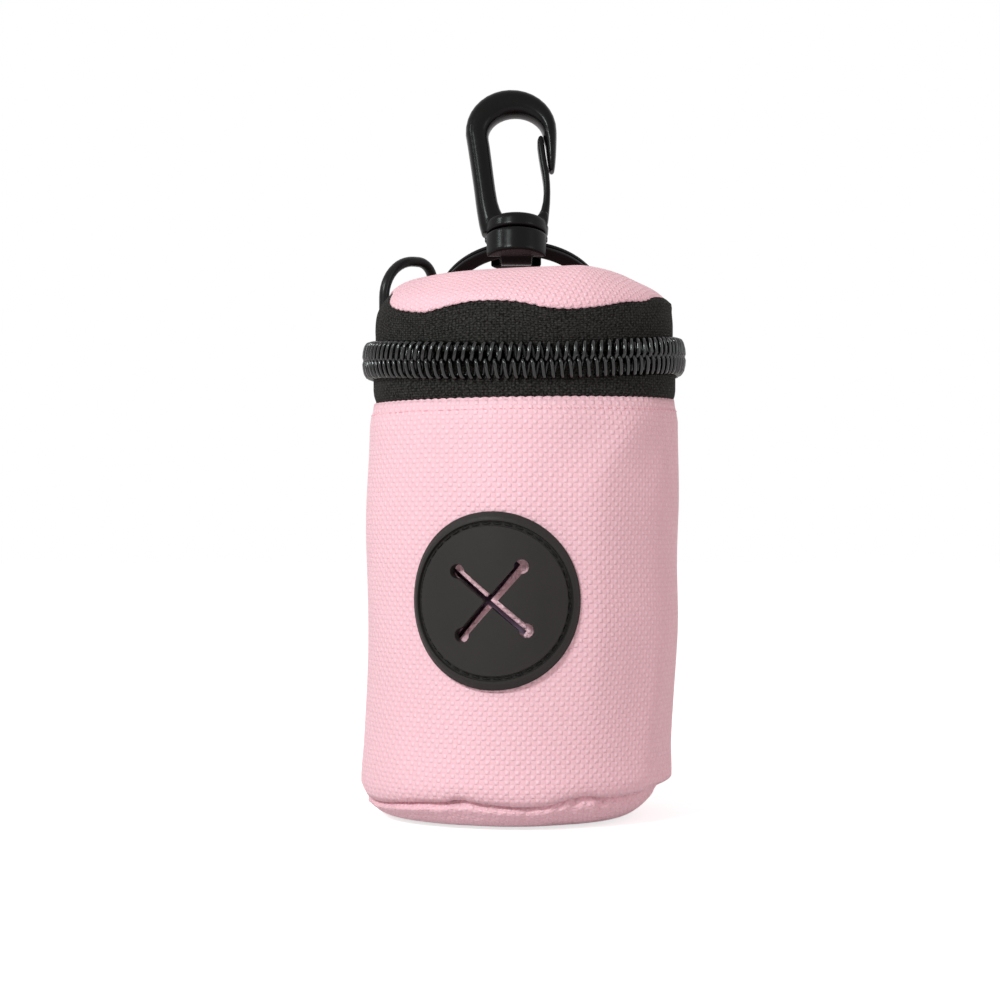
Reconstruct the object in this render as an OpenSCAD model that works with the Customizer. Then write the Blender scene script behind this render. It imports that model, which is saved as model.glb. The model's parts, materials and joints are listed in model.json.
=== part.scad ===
// Round zipped fabric pouch that holds a roll of waste bags, with a rubber
// dispensing patch on its side and a snap hook on a split ring at the back.
// Millimetres. +Z is up, the front with the patch faces -Y, and the origin is
// the middle of the base. Angles round the pouch start at the front and grow
// towards -X.

/* [Pouch] */
// Outside diameter of the fabric pouch
pouch_d = 50.4; // [50:0.1:51]
// Thickness of the lined fabric
wall = 0.9; // [0.8:0.05:0.9]
// Height of the seam between the side and the base
base_seam_z = 4.7; // [4.2:0.1:5.2]
// Height of the folded top edge of the side panel
mouth_z = 67.5; // [67:0.1:67.8]
// Radius of the flat middle of the base
base_flat_r = 20.5; // [19.5:0.1:21]

/* [Dispensing patch] */
// Radius of the rubber patch
patch_r = 13.7; // [13:0.1:14.5]
// Thickness of the rubber
patch_t = 1.5; // [1.2:0.1:1.8]
// Height of the middle of the patch
patch_z = 35.8; // [33:0.1:39]
// How far round the pouch the patch sits
patch_angle = 11; // [0:1:15]
// Distance from the middle of the cross slot to the round end of each arm
slot_reach = 7; // [6:0.1:8]
// Width of the slot in the rubber
slot_w = 1.5; // [1.2:0.1:1.8]
// Diameter of the round slot ends
slot_end_d = 2.3; // [2:0.1:2.6]
// Turn of the cross slot away from an even X
slot_turn = 5; // [0:1:10]
// Radius of the stitched circle on the patch
patch_stitch_r = 11.9; // [11.5:0.1:12.3]

/* [Zip] */
// Height of the middle of the zip
zip_z = 73.5; // [73.3:0.1:73.7]
// Width of the closed chain
chain_w = 6; // [5.6:0.1:6.1]
// Outer radius of the chain round the pouch
chain_r = 26.5; // [26.3:0.1:26.5]
// Outer radius of the zip tapes
tape_r = 24.25; // [24.2:0.05:24.25]
// Thickness of the zip tapes
tape_t = 0.8; // [0.7:0.05:0.8]
// Space along the chain taken by one tooth
tooth_pitch = 1.6; // [1.5:0.1:2]
// Angle from the front to each end of the tape that stays with the pouch
free_angle = 127.5; // [126:0.5:127.5]
// Angle from the front to the parked slider
park_angle = 138; // [138:0.5:139]
// Angle from the front to the ends of both tapes
tape_end_angle = 151.5; // [151.5:0.5:152]
// Length of the slider along the chain
slider_l = 9; // [8.5:0.1:9]

/* [Lid] */
// Height of the top of the lid
lid_top_z = 89.6; // [89:0.1:90]
// Height of the seam between the lid's dome and the upper tape
lid_seam_z = 82.6; // [82.2:0.1:82.8]
// Radius at which the dome springs
dome_r = 23.6; // [23.4:0.05:23.6]

/* [Hanger and split ring] */
// Outside diameter of the split ring
ring_d = 28; // [27.8:0.1:28.2]
// Radial width of the ring
ring_w = 1.9; // [1.7:0.1:1.9]
// Thickness of the two turns of the ring together
ring_t = 1.5; // [1.3:0.1:1.5]
// Tilt of the ring at rest, from flat
ring_tilt = 40; // [39:1:41]
// Width of the hanger webbing
hanger_w = 8; // [7:0.5:8]

/* [Snap hook] */
// Lean of the hook at rest
hook_lean = 16; // [15:1:17]
// Diameter of the hook's base and of the swivel barrel
barrel_d = 10.4; // [10.2:0.1:10.6]
// Depth of the hook from front to back
hook_depth = 4.6; // [4.2:0.1:5]
// Depth of the spring gate from front to back
gate_depth = 3; // [2.6:0.1:3.1]

/* [Bag roll] */
// Diameter of the roll of bags
roll_d = 33; // [30:0.5:36]
// Height of the roll of bags
roll_h = 58; // [55:0.5:60]
// Inside diameter of the paper core
core_d = 10; // [8:0.5:12]

/* [Hidden] */
$fn = 96;
side_r = pouch_d / 2;
side_in = side_r - wall;
seam_clear = 0.05;
joint_gap = 0.5;
base_floor_t = 0.9;
base_rim_r = side_in - seam_clear;
base_corner_z = base_seam_z - 0.7;
base_tuck_z = base_seam_z + 2.8;
binding_t = 0.7;
tape_in = tape_r - tape_t;
tape_gap = 0.8;
tape_foot_z = mouth_z - 5.5;
hinge_split_z = 68.5;
row_gap = 0.1;
row_h = chain_w / 2 - row_gap;
tooth_angle = tooth_pitch / chain_r * 180 / PI;
chain_root_r = tape_r + 0.05;
chain_valley_r = chain_r - 0.7;
chain_open_end = 146;
chain_park_end = 142.3;
stop_angle = 149.8;
slider_half_angle = slider_l / 2 / chain_r * 180 / PI;
slider_clear = 0.15;
slider_half_h = chain_w / 2 + slider_clear + 0.75;
slider_out_r = chain_r + 1;
slider_in_r = tape_in - 0.95;
post_angle = 7;
post_half_w = 0.55;
crown_r = slider_out_r + 1.25;
crown_l = 3;
wire_r = 0.7;
wire_bore_r = 0.78;
loop_left_w = 6.3;
loop_right_w = 4.8;
loop_top_z = 92.1;
loop_foot_r = 2;
loop_left_r = 7;
loop_right_r = 3.2;
dome_spring_z = lid_top_z - 8.1;
dome_power = 2.5;
dome_t = 1;
dome_steps = 28;
ring_x = -0.8;
ring_y = 21;
ring_z = 85.2;
ring_mean_r = ring_d / 2 - ring_w / 2;
ring_foot_y = ring_y + ring_mean_r * cos(ring_tilt);
ring_foot_z = ring_z - ring_mean_r * sin(ring_tilt);
ring_top_y = ring_y - ring_mean_r * cos(ring_tilt);
ring_top_z = ring_z + ring_mean_r * sin(ring_tilt);
hanger_bore_r = 2.2;
hanger_eye_r = 3.3;
hanger_t = 2.2;
hanger_foot_z = zip_z - 3.3;
hanger_neck_z = zip_z + 2;
eye_x = -1.2;
barrel_r = barrel_d / 2;
barrel_foot = -1.8;
barrel_top = 2.75;
eye_bore_r = 1.55;
lug_r = 2.8;
lug_half_w = 2.6;
channel_front = 1.7;
channel_back = 3.1;
channel_top = 1.5;
shank_r = 1.6;
shank_bore_r = 1.66;
head_r = 2.4;
head_bore_r = 2.5;
head_z = 5.3;
head_top = 6.1;
base_z = 3.05;
base_rim_z = 4.6;
floor_z = 6.2;
floor_r = 3.4;
arch_z = 21;
arch_r = 7.6;
mouth_arch_z = 20.4;
mouth_arch_r = 4.2;
gate_x = 4.2;
gate_z = 4.7;
knuckle_r = 1.15;
knuckle_clear = 0.08;
pin_r = 0.5;
pin_bore_r = 0.55;
pin_l = 6;
cheek_r = 1.2;
stitch_w = 0.5;
stitch_l = 2;
stitch_proud = 0.25;
groove_w = 0.8;
groove_depth = 0.3;
patch_stitches = 40;
patch_stitch_l = 1.3;
rear_stitches = 17;
slit_w = 0.7;
roll_foot_z = base_floor_t + 0.5;
core_t = 1;

// Points of an arc about a centre, between two angles
function arc(x, y, r, from, to, steps) =
    [for (i = [0:steps]) let (a = from + (to - from) * i / steps) [x + r * cos(a), y + r * sin(a)]];

// A point in plan at a radius and an angle from the front
function plan(r, angle) = [-r * sin(angle), -r * cos(angle)];

// Radius of the dome's outside at a height above its spring line
function dome_at(rise) = dome_r * pow(1 - pow(rise, dome_power), 1 / dome_power);

// Turns a profile round the pouch between two angles from the front
module band(from, to) {
    rotate([0, 0, 270 - to]) rotate_extrude(angle = to - from) children();
}

// A ring or part ring of rectangular section
module strip(r_in, r_out, z_low, z_high, from, to) {
    band(from, to) translate([r_in, z_low]) square([r_out - r_in, z_high - z_low]);
}

// A closed ring of rectangular section
module hoop(r_in, r_out, z_low, z_high) {
    rotate_extrude() translate([r_in, z_low]) square([r_out - r_in, z_high - z_low]);
}

// Turns X outwards from the pouch at an angle from the front
module facing(angle) {
    rotate([0, 0, 270 - angle]) children();
}

// A rod along X, centred
module rod_x(r, l) {
    rotate([0, 90, 0]) cylinder(r = r, h = l, center = true);
}

// A rod along Y, centred
module rod_y(r, l) {
    rotate([90, 0, 0]) cylinder(r = r, h = l, center = true);
}

// The frame of the patch: X out of the pouch through its middle
module at_patch() {
    translate([0, 0, patch_z]) facing(patch_angle) children();
}

// The cross slot, cut outwards from inside the wall
module cross_slot(width, end_d) {
    for (turn = [45, 135]) rotate([turn + slot_turn, 0, 0]) translate([side_r, 0, 0]) {
        cube([8, 2 * slot_reach, width], center = true);
        for (side = [-1, 1]) translate([0, side * slot_reach, 0]) rod_x(end_d / 2, 8);
    }
}

module side_panel() {
    color("pink") difference() {
        hoop(side_in, side_r, base_seam_z, mouth_z);
        at_patch() cross_slot(slit_w, slit_w);
    }
}

module base_panel() {
    corner_r = base_rim_r - base_flat_r;
    outside = arc(base_flat_r, base_corner_z, corner_r, -90, 0, 12);
    inside = arc(base_flat_r, base_corner_z, corner_r - base_floor_t, 0, -90, 12);
    squash = base_corner_z / corner_r;
    lift = base_corner_z * (1 - squash);
    color("palevioletred") rotate_extrude() polygon(concat(
        [[0, 0]],
        [for (p = outside) [p[0], p[1] * squash + lift]],
        [[base_rim_r, base_tuck_z], [base_rim_r - base_floor_t, base_tuck_z]],
        [for (p = inside) [p[0], p[1] * squash + lift]],
        [[0, base_floor_t * squash]]
    ));
}

module base_seam_binding() {
    out_r = base_rim_r - base_floor_t - seam_clear;
    color("black") hoop(out_r - binding_t, out_r, base_seam_z, base_tuck_z + 1.2);
}

module rear_seam_stitching() {
    first_z = base_seam_z + 5;
    step = (mouth_z - 4 - first_z) / rear_stitches;
    color("white") for (i = [0:rear_stitches - 1], side = [-1, 1])
        translate([0, 0, first_z + i * step]) facing(180 + side * 6)
            translate([side_r, -stitch_w / 2, 0]) cube([stitch_proud, stitch_w, stitch_l + 0.4]);
}

// The round groove that the patch's stitches lie in
module stitch_groove() {
    floor_r = side_r + patch_t - groove_depth;
    intersection() {
        hoop(floor_r, floor_r + 2, patch_z - 20, patch_z + 20);
        at_patch() translate([side_r, 0, 0]) difference() {
            rod_x(patch_stitch_r + groove_w / 2, 24);
            rod_x(patch_stitch_r - groove_w / 2, 26);
        }
    }
}

module slot_patch() {
    color("dimgray") difference() {
        intersection() {
            hoop(side_r + seam_clear, side_r + patch_t, patch_z - 20, patch_z + 20);
            at_patch() translate([side_r, 0, 0]) rod_x(patch_r, 24);
        }
        at_patch() cross_slot(slot_w, slot_end_d);
        stitch_groove();
    }
}

module patch_stitching() {
    floor_r = side_r + patch_t - groove_depth;
    for (i = [0:patch_stitches - 1]) {
        turn = 360 * i / patch_stitches;
        across = patch_stitch_r * cos(turn);
        up = patch_stitch_r * sin(turn);
        color("black") translate([0, 0, patch_z + up])
            facing(patch_angle - asin(across / (floor_r + groove_depth / 2)))
            translate([floor_r, 0, 0]) rotate([turn + 90, 0, 0])
            translate([0, -patch_stitch_l / 2, -stitch_w / 2])
            cube([groove_depth + stitch_proud / 2, patch_stitch_l, stitch_w]);
    }
}

module lower_zip_tape() {
    color("black") strip(tape_in, tape_r, tape_foot_z, zip_z - tape_gap, -free_angle, free_angle);
}

// One toothed row of the coil, as a crenellated strip in two slanted courses
module coil_row(from, to, z_low, lean) {
    teeth = floor((to - from) / tooth_angle);
    step = (to - from) / teeth;
    for (course = [0, 1]) {
        shift = lean * (course - 0.5) * step / 4;
        translate([0, 0, z_low + course * row_h / 2]) linear_extrude(row_h / 2) polygon(concat(
            [for (i = [0:teeth - 1], corner = [0:3])
                plan(corner == 1 || corner == 2 ? chain_r : chain_valley_r,
                    from + (i + [0.14, 0.3, 0.7, 0.86][corner]) * step + shift)],
            [for (i = [0:teeth]) plan(chain_root_r, to - i * step)]
        ));
    }
}

module lower_zip_coil() {
    color("black") coil_row(-free_angle, free_angle, zip_z - row_gap - row_h, 1);
}

module rear_panel_lower() {
    start = free_angle + 0.7;
    color("black") strip(tape_in, tape_r, tape_foot_z, hinge_split_z - joint_gap / 2, start, 360 - start);
}

module lid_panel() {
    first = (lid_seam_z + 0.1 - dome_spring_z) / (lid_top_z - dome_spring_z);
    rise = [for (i = [0:dome_steps]) sin(asin(first) + (90 - asin(first)) * i / dome_steps)];
    height = lid_top_z - dome_spring_z;
    inner = (dome_r - dome_t) / dome_r;
    low = dome_spring_z + first * height;
    color("pink") rotate_extrude() polygon(concat(
        [for (t = rise) [dome_at(t), dome_spring_z + t * height]],
        [for (i = [dome_steps:-1:1])
            [dome_at(rise[i]) * inner, dome_spring_z + rise[i] * (height - dome_t)]],
        [[dome_at(first) * inner, low]]
    ));
}

module lid_seam_binding() {
    out_r = tape_in - seam_clear;
    color("black") hoop(out_r - binding_t, out_r, lid_seam_z - 4, lid_seam_z - 0.2);
}

module upper_zip_tape() {
    color("black") strip(tape_in, tape_r, zip_z + tape_gap, lid_seam_z, -tape_end_angle, tape_end_angle);
}

module upper_zip_coil() {
    color("black") coil_row(-chain_open_end, chain_park_end, zip_z + row_gap, -1);
}

module lower_tape_ends() {
    start = free_angle + 1;
    low = hinge_split_z + joint_gap / 2;
    color("black") {
        strip(tape_in, tape_r, low, zip_z - tape_gap, start, tape_end_angle);
        strip(tape_in, tape_r, low, zip_z - tape_gap, -tape_end_angle, -start);
    }
}

module lower_coil_ends() {
    start = free_angle + 1;
    low = zip_z - row_gap - row_h;
    color("black") {
        coil_row(start, chain_park_end, low, 1);
        coil_row(-chain_open_end, -start, low, 1);
    }
}

module zip_stops() {
    half_turn = 0.9;
    height = row_h - 0.5;
    color("dimgray") for (side = [-1, 1], z_low = [zip_z - row_gap - height, zip_z + tape_gap + 0.2])
        strip(tape_r, chain_r - 0.4, z_low, z_low + height - tape_gap,
            side * stop_angle - half_turn, side * stop_angle + half_turn);
}

module rear_panel_upper() {
    start = tape_end_angle + 0.5;
    color("black") strip(tape_in, tape_r, hinge_split_z + joint_gap / 2, lid_seam_z, start, 360 - start);
}

module hanger_loop() {
    front_y = tape_r + 0.1;
    color("black") translate([ring_x, 0, 0]) difference() {
        union() {
            rotate([90, 0, 90]) linear_extrude(hanger_w, center = true) polygon([
                [front_y, hanger_foot_z],
                [front_y + hanger_t, hanger_foot_z],
                [front_y + hanger_t, hanger_neck_z - 1.6],
                [ring_foot_y - 0.6, ring_foot_z - hanger_eye_r + 0.1],
                [ring_foot_y - 2.2, ring_foot_z + 2.4],
                [front_y, hanger_neck_z + 1.6]
            ]);
            translate([0, ring_foot_y, ring_foot_z]) rod_x(hanger_eye_r, hanger_w);
        }
        translate([0, ring_foot_y, ring_foot_z]) rod_x(hanger_bore_r, hanger_w + 2);
    }
}

module hanger_stitching() {
    back_y = tape_r + 0.1 + hanger_t;
    inset = 1;
    reach = hanger_w / 2 - inset;
    color("dimgray") translate([ring_x, back_y, 0]) for (row = [0, 1], i = [-1, 0, 1])
        translate([i * reach * 0.8 - stitch_l / 2, 0, hanger_foot_z + inset - 0.3 + row * 1.7])
            cube([stitch_l, stitch_proud, stitch_w]);
}

// The split ring's section has a groove between its two turns
module split_ring() {
    groove = 0.12;
    half_w = ring_w / 2;
    half_t = ring_t / 2;
    color("black") translate([ring_x, ring_y, ring_z]) rotate([-ring_tilt, 0, 0])
        rotate_extrude() translate([ring_mean_r, 0]) polygon([
            [-half_w, -half_t], [half_w, -half_t], [half_w, -groove], [half_w - groove, 0],
            [half_w, groove], [half_w, half_t], [-half_w, half_t], [-half_w, groove],
            [groove - half_w, 0], [-half_w, -groove]
        ]);
}

// The frame of the hook: the ring's bore along X, the swivel axis along Z
module at_hook() {
    translate([eye_x, ring_top_y, ring_top_z]) rotate([-hook_lean, 0, 0]) children();
}

module swivel_eye() {
    color("black") at_hook() {
        difference() {
            union() {
                translate([0, 0, barrel_foot]) cylinder(r = barrel_r, h = barrel_top - barrel_foot);
                rod_x(lug_r, 2 * lug_half_w);
                cylinder(r = shank_r, h = head_z + 0.4);
                translate([0, 0, head_z]) cylinder(r = head_r, h = head_top - head_z);
            }
            rod_x(eye_bore_r, barrel_d + 2);
            for (side = [-1, 1])
                translate([side > 0 ? lug_half_w : -lug_half_w - barrel_r, -channel_front, -lug_r - 1])
                    cube([barrel_r, channel_front + channel_back, channel_top + lug_r + 1]);
        }
    }
}

// Outline of the hook seen from the front, with its mouth open to the gate
function hook_outline() = concat(
    [[-barrel_r + 0.1, base_z], [-arch_r - 0.05, arch_z]],
    arc(-0.05, arch_z, arch_r, 180, 0, 24),
    [[7.3, 18], [6.95, 15.4], [6.6, 14.3], [6.15, 14.3], [5.98, 15], [5.35, 20.9], [4.3, 21.2]],
    arc(0, mouth_arch_z, mouth_arch_r, 12, 180, 18),
    arc(-1.3, floor_z + 1.4, 1.3, 190, 262, 5),
    [[-1, floor_z], [gate_x - 1.6, floor_z], [gate_x - 1.6, base_z]]
);

module hook_body() {
    cavity_w = gate_depth + 0.3;
    color("black") at_hook() difference() {
        union() {
            rotate([90, 0, 0]) linear_extrude(hook_depth, center = true) polygon(hook_outline());
            translate([0, 0, base_z]) cylinder(r = barrel_r, h = base_rim_z - base_z);
            translate([0, 0, base_rim_z])
                cylinder(r1 = barrel_r, r2 = floor_r, h = floor_z - base_rim_z);
            translate([gate_x, 0, gate_z]) rod_y(cheek_r, pin_l);
        }
        translate([gate_x, 0, gate_z]) rod_y(knuckle_r + knuckle_clear, cavity_w);
        translate([gate_x - knuckle_r - 0.1, -cavity_w / 2, gate_z]) cube([4, cavity_w, 4]);
        translate([gate_x, -cavity_w / 2, base_z + 0.3]) cube([4, cavity_w, 4]);
        translate([gate_x, 0, gate_z]) rod_y(pin_r, pin_l + 4);
        translate([0, 0, base_z - 1]) cylinder(r = shank_bore_r, h = 8);
        translate([0, 0, head_z - 0.05]) cylinder(r = head_bore_r, h = 4);
    }
}

// Outline of the gate seen from the front, from its root to its tip
function gate_outline() = concat(
    [[gate_x + 1.1, gate_z], [5.75, 7.5], [5.88, 9.5], [5.85, 13], [5.72, 15.5], [5.2, 20]],
    arc(4.72, 20.05, 0.5, 0, 180, 6),
    [[4.25, 16.5], [4.6, 13], [4.68, 9.5], [4.55, 7.2], [gate_x, gate_z + 1]]
);

module hook_gate() {
    color("black") at_hook() difference() {
        union() {
            rotate([90, 0, 0]) linear_extrude(gate_depth, center = true) polygon(gate_outline());
            translate([gate_x, 0, gate_z]) rod_y(knuckle_r, gate_depth);
        }
        translate([gate_x, 0, gate_z]) rod_y(pin_bore_r, gate_depth + 2);
    }
}

module gate_pin() {
    color("silver") at_hook() translate([gate_x, 0, gate_z]) rod_y(pin_r, pin_l);
}

module slider_body() {
    from = park_angle - slider_half_angle;
    to = park_angle + slider_half_angle;
    plate_in = chain_r + slider_clear;
    flange_in = chain_w / 2 + slider_clear;
    neck = park_angle + post_angle;
    color("dimgray") {
        band(from, to) {
            translate([plate_in, zip_z - slider_half_h])
                square([slider_out_r - plate_in, 2 * slider_half_h]);
            for (low = [zip_z - slider_half_h, zip_z + flange_in])
                translate([tape_r + 0.25, low]) square([2.5, slider_half_h - flange_in]);
            translate([slider_in_r, zip_z - slider_half_h + 0.4])
                square([tape_in - 0.2 - slider_in_r, 2 * slider_half_h - 0.8]);
        }
        strip(slider_in_r, plate_in + 0.2, zip_z - post_half_w, zip_z + post_half_w, neck - 1.2, neck + 1.2);
        translate([0, 0, zip_z]) facing(park_angle) difference() {
            union() {
                translate([crown_r, 0, 0]) rod_y(1.7, crown_l);
                translate([slider_out_r - 0.4, -crown_l / 2, -1.7]) cube([crown_r - slider_out_r + 0.4, crown_l, 3.4]);
            }
            translate([crown_r, 0, 0]) rod_y(wire_bore_r, crown_l + 2);
        }
    }
}

// A straight wire between two points of the loop's own plane
module loop_leg(side, low, high) {
    translate([0, side, low]) cylinder(r = wire_r, h = high - low);
}

// A bend of the loop's wire about a centre, through a quarter turn
module loop_bend(side, height, r, from) {
    translate([0, side, height]) rotate([90, 0, 90]) rotate([0, 0, from])
        rotate_extrude(angle = 90) translate([r, 0]) circle(r = wire_r, $fn = 24);
}

module pull_loop() {
    left = loop_left_w;
    right = loop_right_w;
    foot = zip_z + loop_foot_r;
    top_left = left - loop_left_r;
    top_right = right - loop_right_r;
    color("black") facing(park_angle) translate([crown_r, 0, 0]) {
        translate([0, (left - right) / 2, zip_z]) rod_y(wire_r, left + right - 2 * loop_foot_r);
        loop_bend(left - loop_foot_r, foot, loop_foot_r, -90);
        loop_bend(loop_foot_r - right, foot, loop_foot_r, 180);
        loop_leg(left, foot, loop_top_z - loop_left_r);
        loop_leg(-right, foot, loop_top_z - loop_right_r);
        loop_bend(top_left, loop_top_z - loop_left_r, loop_left_r, 0);
        loop_bend(-top_right, loop_top_z - loop_right_r, loop_right_r, 90);
        translate([0, (top_left - top_right) / 2, loop_top_z]) rod_y(wire_r, top_left + top_right);
    }
}

module roll_core() {
    out_r = core_d / 2 + core_t;
    color("tan") hoop(core_d / 2, out_r, roll_foot_z, roll_foot_z + roll_h);
}

module bag_roll() {
    in_r = core_d / 2 + core_t + seam_clear;
    color("plum") hoop(in_r, roll_d / 2, roll_foot_z + 1, roll_foot_z + roll_h - 1);
}

// The free end of the outermost bag, leaving the roll at a tangent
module bag_tail() {
    film_t = 0.25;
    color("plum") facing(patch_angle) translate([roll_d / 2 + seam_clear, -1, roll_foot_z + 3])
        cube([film_t, 11, roll_h - 6]);
}

side_panel();
base_panel();
base_seam_binding();
rear_seam_stitching();
slot_patch();
patch_stitching();
lower_zip_tape();
lower_zip_coil();
rear_panel_lower();
lid_panel();
lid_seam_binding();
upper_zip_tape();
upper_zip_coil();
lower_tape_ends();
lower_coil_ends();
zip_stops();
rear_panel_upper();
hanger_loop();
hanger_stitching();
split_ring();
swivel_eye();
hook_body();
hook_gate();
gate_pin();
slider_body();
pull_loop();
roll_core();
bag_roll();
bag_tail();
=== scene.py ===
"""Looks of a zipped cloth pouch for a roll of waste bags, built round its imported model.

Sizes are written in millimetres and become metres when a piece is finished. The front of the pouch
faces -Y. An angle round the pouch starts at the front and grows towards -X.
"""

import functools
import json
import logging
import math
from dataclasses import dataclass
from enum import Enum
from typing import Any, Callable, Iterable, Optional, Sequence

import bmesh
import bpy
from mathutils import Matrix, Vector

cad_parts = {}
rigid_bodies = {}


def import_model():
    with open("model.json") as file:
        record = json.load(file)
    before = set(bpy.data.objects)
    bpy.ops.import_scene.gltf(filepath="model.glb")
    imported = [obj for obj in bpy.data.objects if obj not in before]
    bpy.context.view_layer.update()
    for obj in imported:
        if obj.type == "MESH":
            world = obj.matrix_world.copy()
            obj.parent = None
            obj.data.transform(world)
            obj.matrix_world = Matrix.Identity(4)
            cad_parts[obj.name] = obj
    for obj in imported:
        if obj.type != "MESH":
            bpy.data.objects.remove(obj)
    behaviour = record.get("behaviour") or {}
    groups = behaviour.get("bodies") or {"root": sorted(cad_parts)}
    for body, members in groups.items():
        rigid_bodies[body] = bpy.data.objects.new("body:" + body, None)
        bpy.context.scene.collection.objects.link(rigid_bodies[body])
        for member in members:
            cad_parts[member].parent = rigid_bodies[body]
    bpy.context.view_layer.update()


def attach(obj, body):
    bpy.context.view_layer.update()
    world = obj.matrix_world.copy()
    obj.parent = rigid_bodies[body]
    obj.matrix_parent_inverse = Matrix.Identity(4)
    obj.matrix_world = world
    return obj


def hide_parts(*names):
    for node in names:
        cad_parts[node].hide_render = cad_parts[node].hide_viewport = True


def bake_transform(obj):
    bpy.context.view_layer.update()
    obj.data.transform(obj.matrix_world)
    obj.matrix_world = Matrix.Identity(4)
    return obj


LOG = logging.getLogger("pouch")
MM = 0.001
MERGE = 0.0005
CLOTH_UV = "cloth"
UP = Vector((0, 0, 1))
Point = tuple[float, float]
Triple = tuple[float, float, float]
Colour = tuple[float, float, float, float]
Mesh = bmesh.types.BMesh
Shown = bpy.types.Object
Place = Callable[[float, float], Vector]
Flat = Callable[[float, float], Point]


class Body(Enum):
    """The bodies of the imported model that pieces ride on."""

    POUCH = "pouch"
    LID = "lid"
    SLIDER = "slider"
    PULLER = "puller"
    RING = "ring"
    EYE = "eye"
    HOOK = "hook"
    GATE = "gate"
    ROLL = "roll"


def around(radius: float, angle: float, height: float) -> Vector:
    """Finds a point round the pouch.

    Args:
        radius: Distance from the pouch's axis.
        angle: Degrees from the front towards -X.
        height: Height above the floor.

    Returns:
        The point.
    """
    turn = math.radians(angle)
    return Vector((-radius * math.sin(turn), -radius * math.cos(turn), height))


def ease(low: float, high: float, value: float) -> float:
    """Climbs smoothly from 0 at low to 1 at high."""
    share = min(1.0, max(0.0, (value - low) / (high - low)))
    return share * share * (3 - 2 * share)


def hump(centre: float, spread: float, value: float) -> float:
    """A smooth bump of height 1 at centre, which fades over its spread."""
    return math.exp(-(((value - centre) / spread) ** 2))


def humps(rows: Sequence[Triple], value: float) -> float:
    """Adds up bumps given as height, centre and spread."""
    return sum(height * hump(centre, spread, value) for height, centre, spread in rows)


def waves(rows: Sequence[Triple], angle: float) -> float:
    """Adds up sine waves given as height, count in a turn and start in degrees."""
    return sum(height * math.sin(math.radians(angle * count + start)) for height, count, start in rows)


def through(knots: Sequence[Point], at: float) -> float:
    """Reads a smooth curve that passes through a few knots.

    Args:
        knots: Pairs of position and value, in rising order of position.
        at: Position to read.

    Returns:
        The value there.
    """
    last = len(knots) - 1
    place = 0
    while place < last - 1 and knots[place + 1][0] < at:
        place += 1
    before, start = knots[max(place - 1, 0)], knots[place]
    end, after = knots[place + 1], knots[min(place + 2, last)]
    span = end[0] - start[0]
    share = min(1.0, max(0.0, (at - start[0]) / span))
    rise_in = (end[1] - before[1]) / (end[0] - before[0]) * span
    rise_out = (after[1] - start[1]) / (after[0] - start[0]) * span
    square, cube = share**2, share**3
    return (
        (2 * cube - 3 * square + 1) * start[1]
        + (cube - 2 * square + share) * rise_in
        + (3 * square - 2 * cube) * end[1]
        + (cube - square) * rise_out
    )


def column(rows: Sequence[Triple], which: int) -> list[Point]:
    """Takes one column of a table, beside its first."""
    return [(row[0], row[which]) for row in rows]


def wrapped(angle: float) -> float:
    """The same angle between -180 and 180 degrees."""
    return (angle + 180) % 360 - 180


def whole_turn(across: float) -> float:
    """The angle at a share across a cloth that goes all the way round."""
    return 180 - 360 * across


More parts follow.
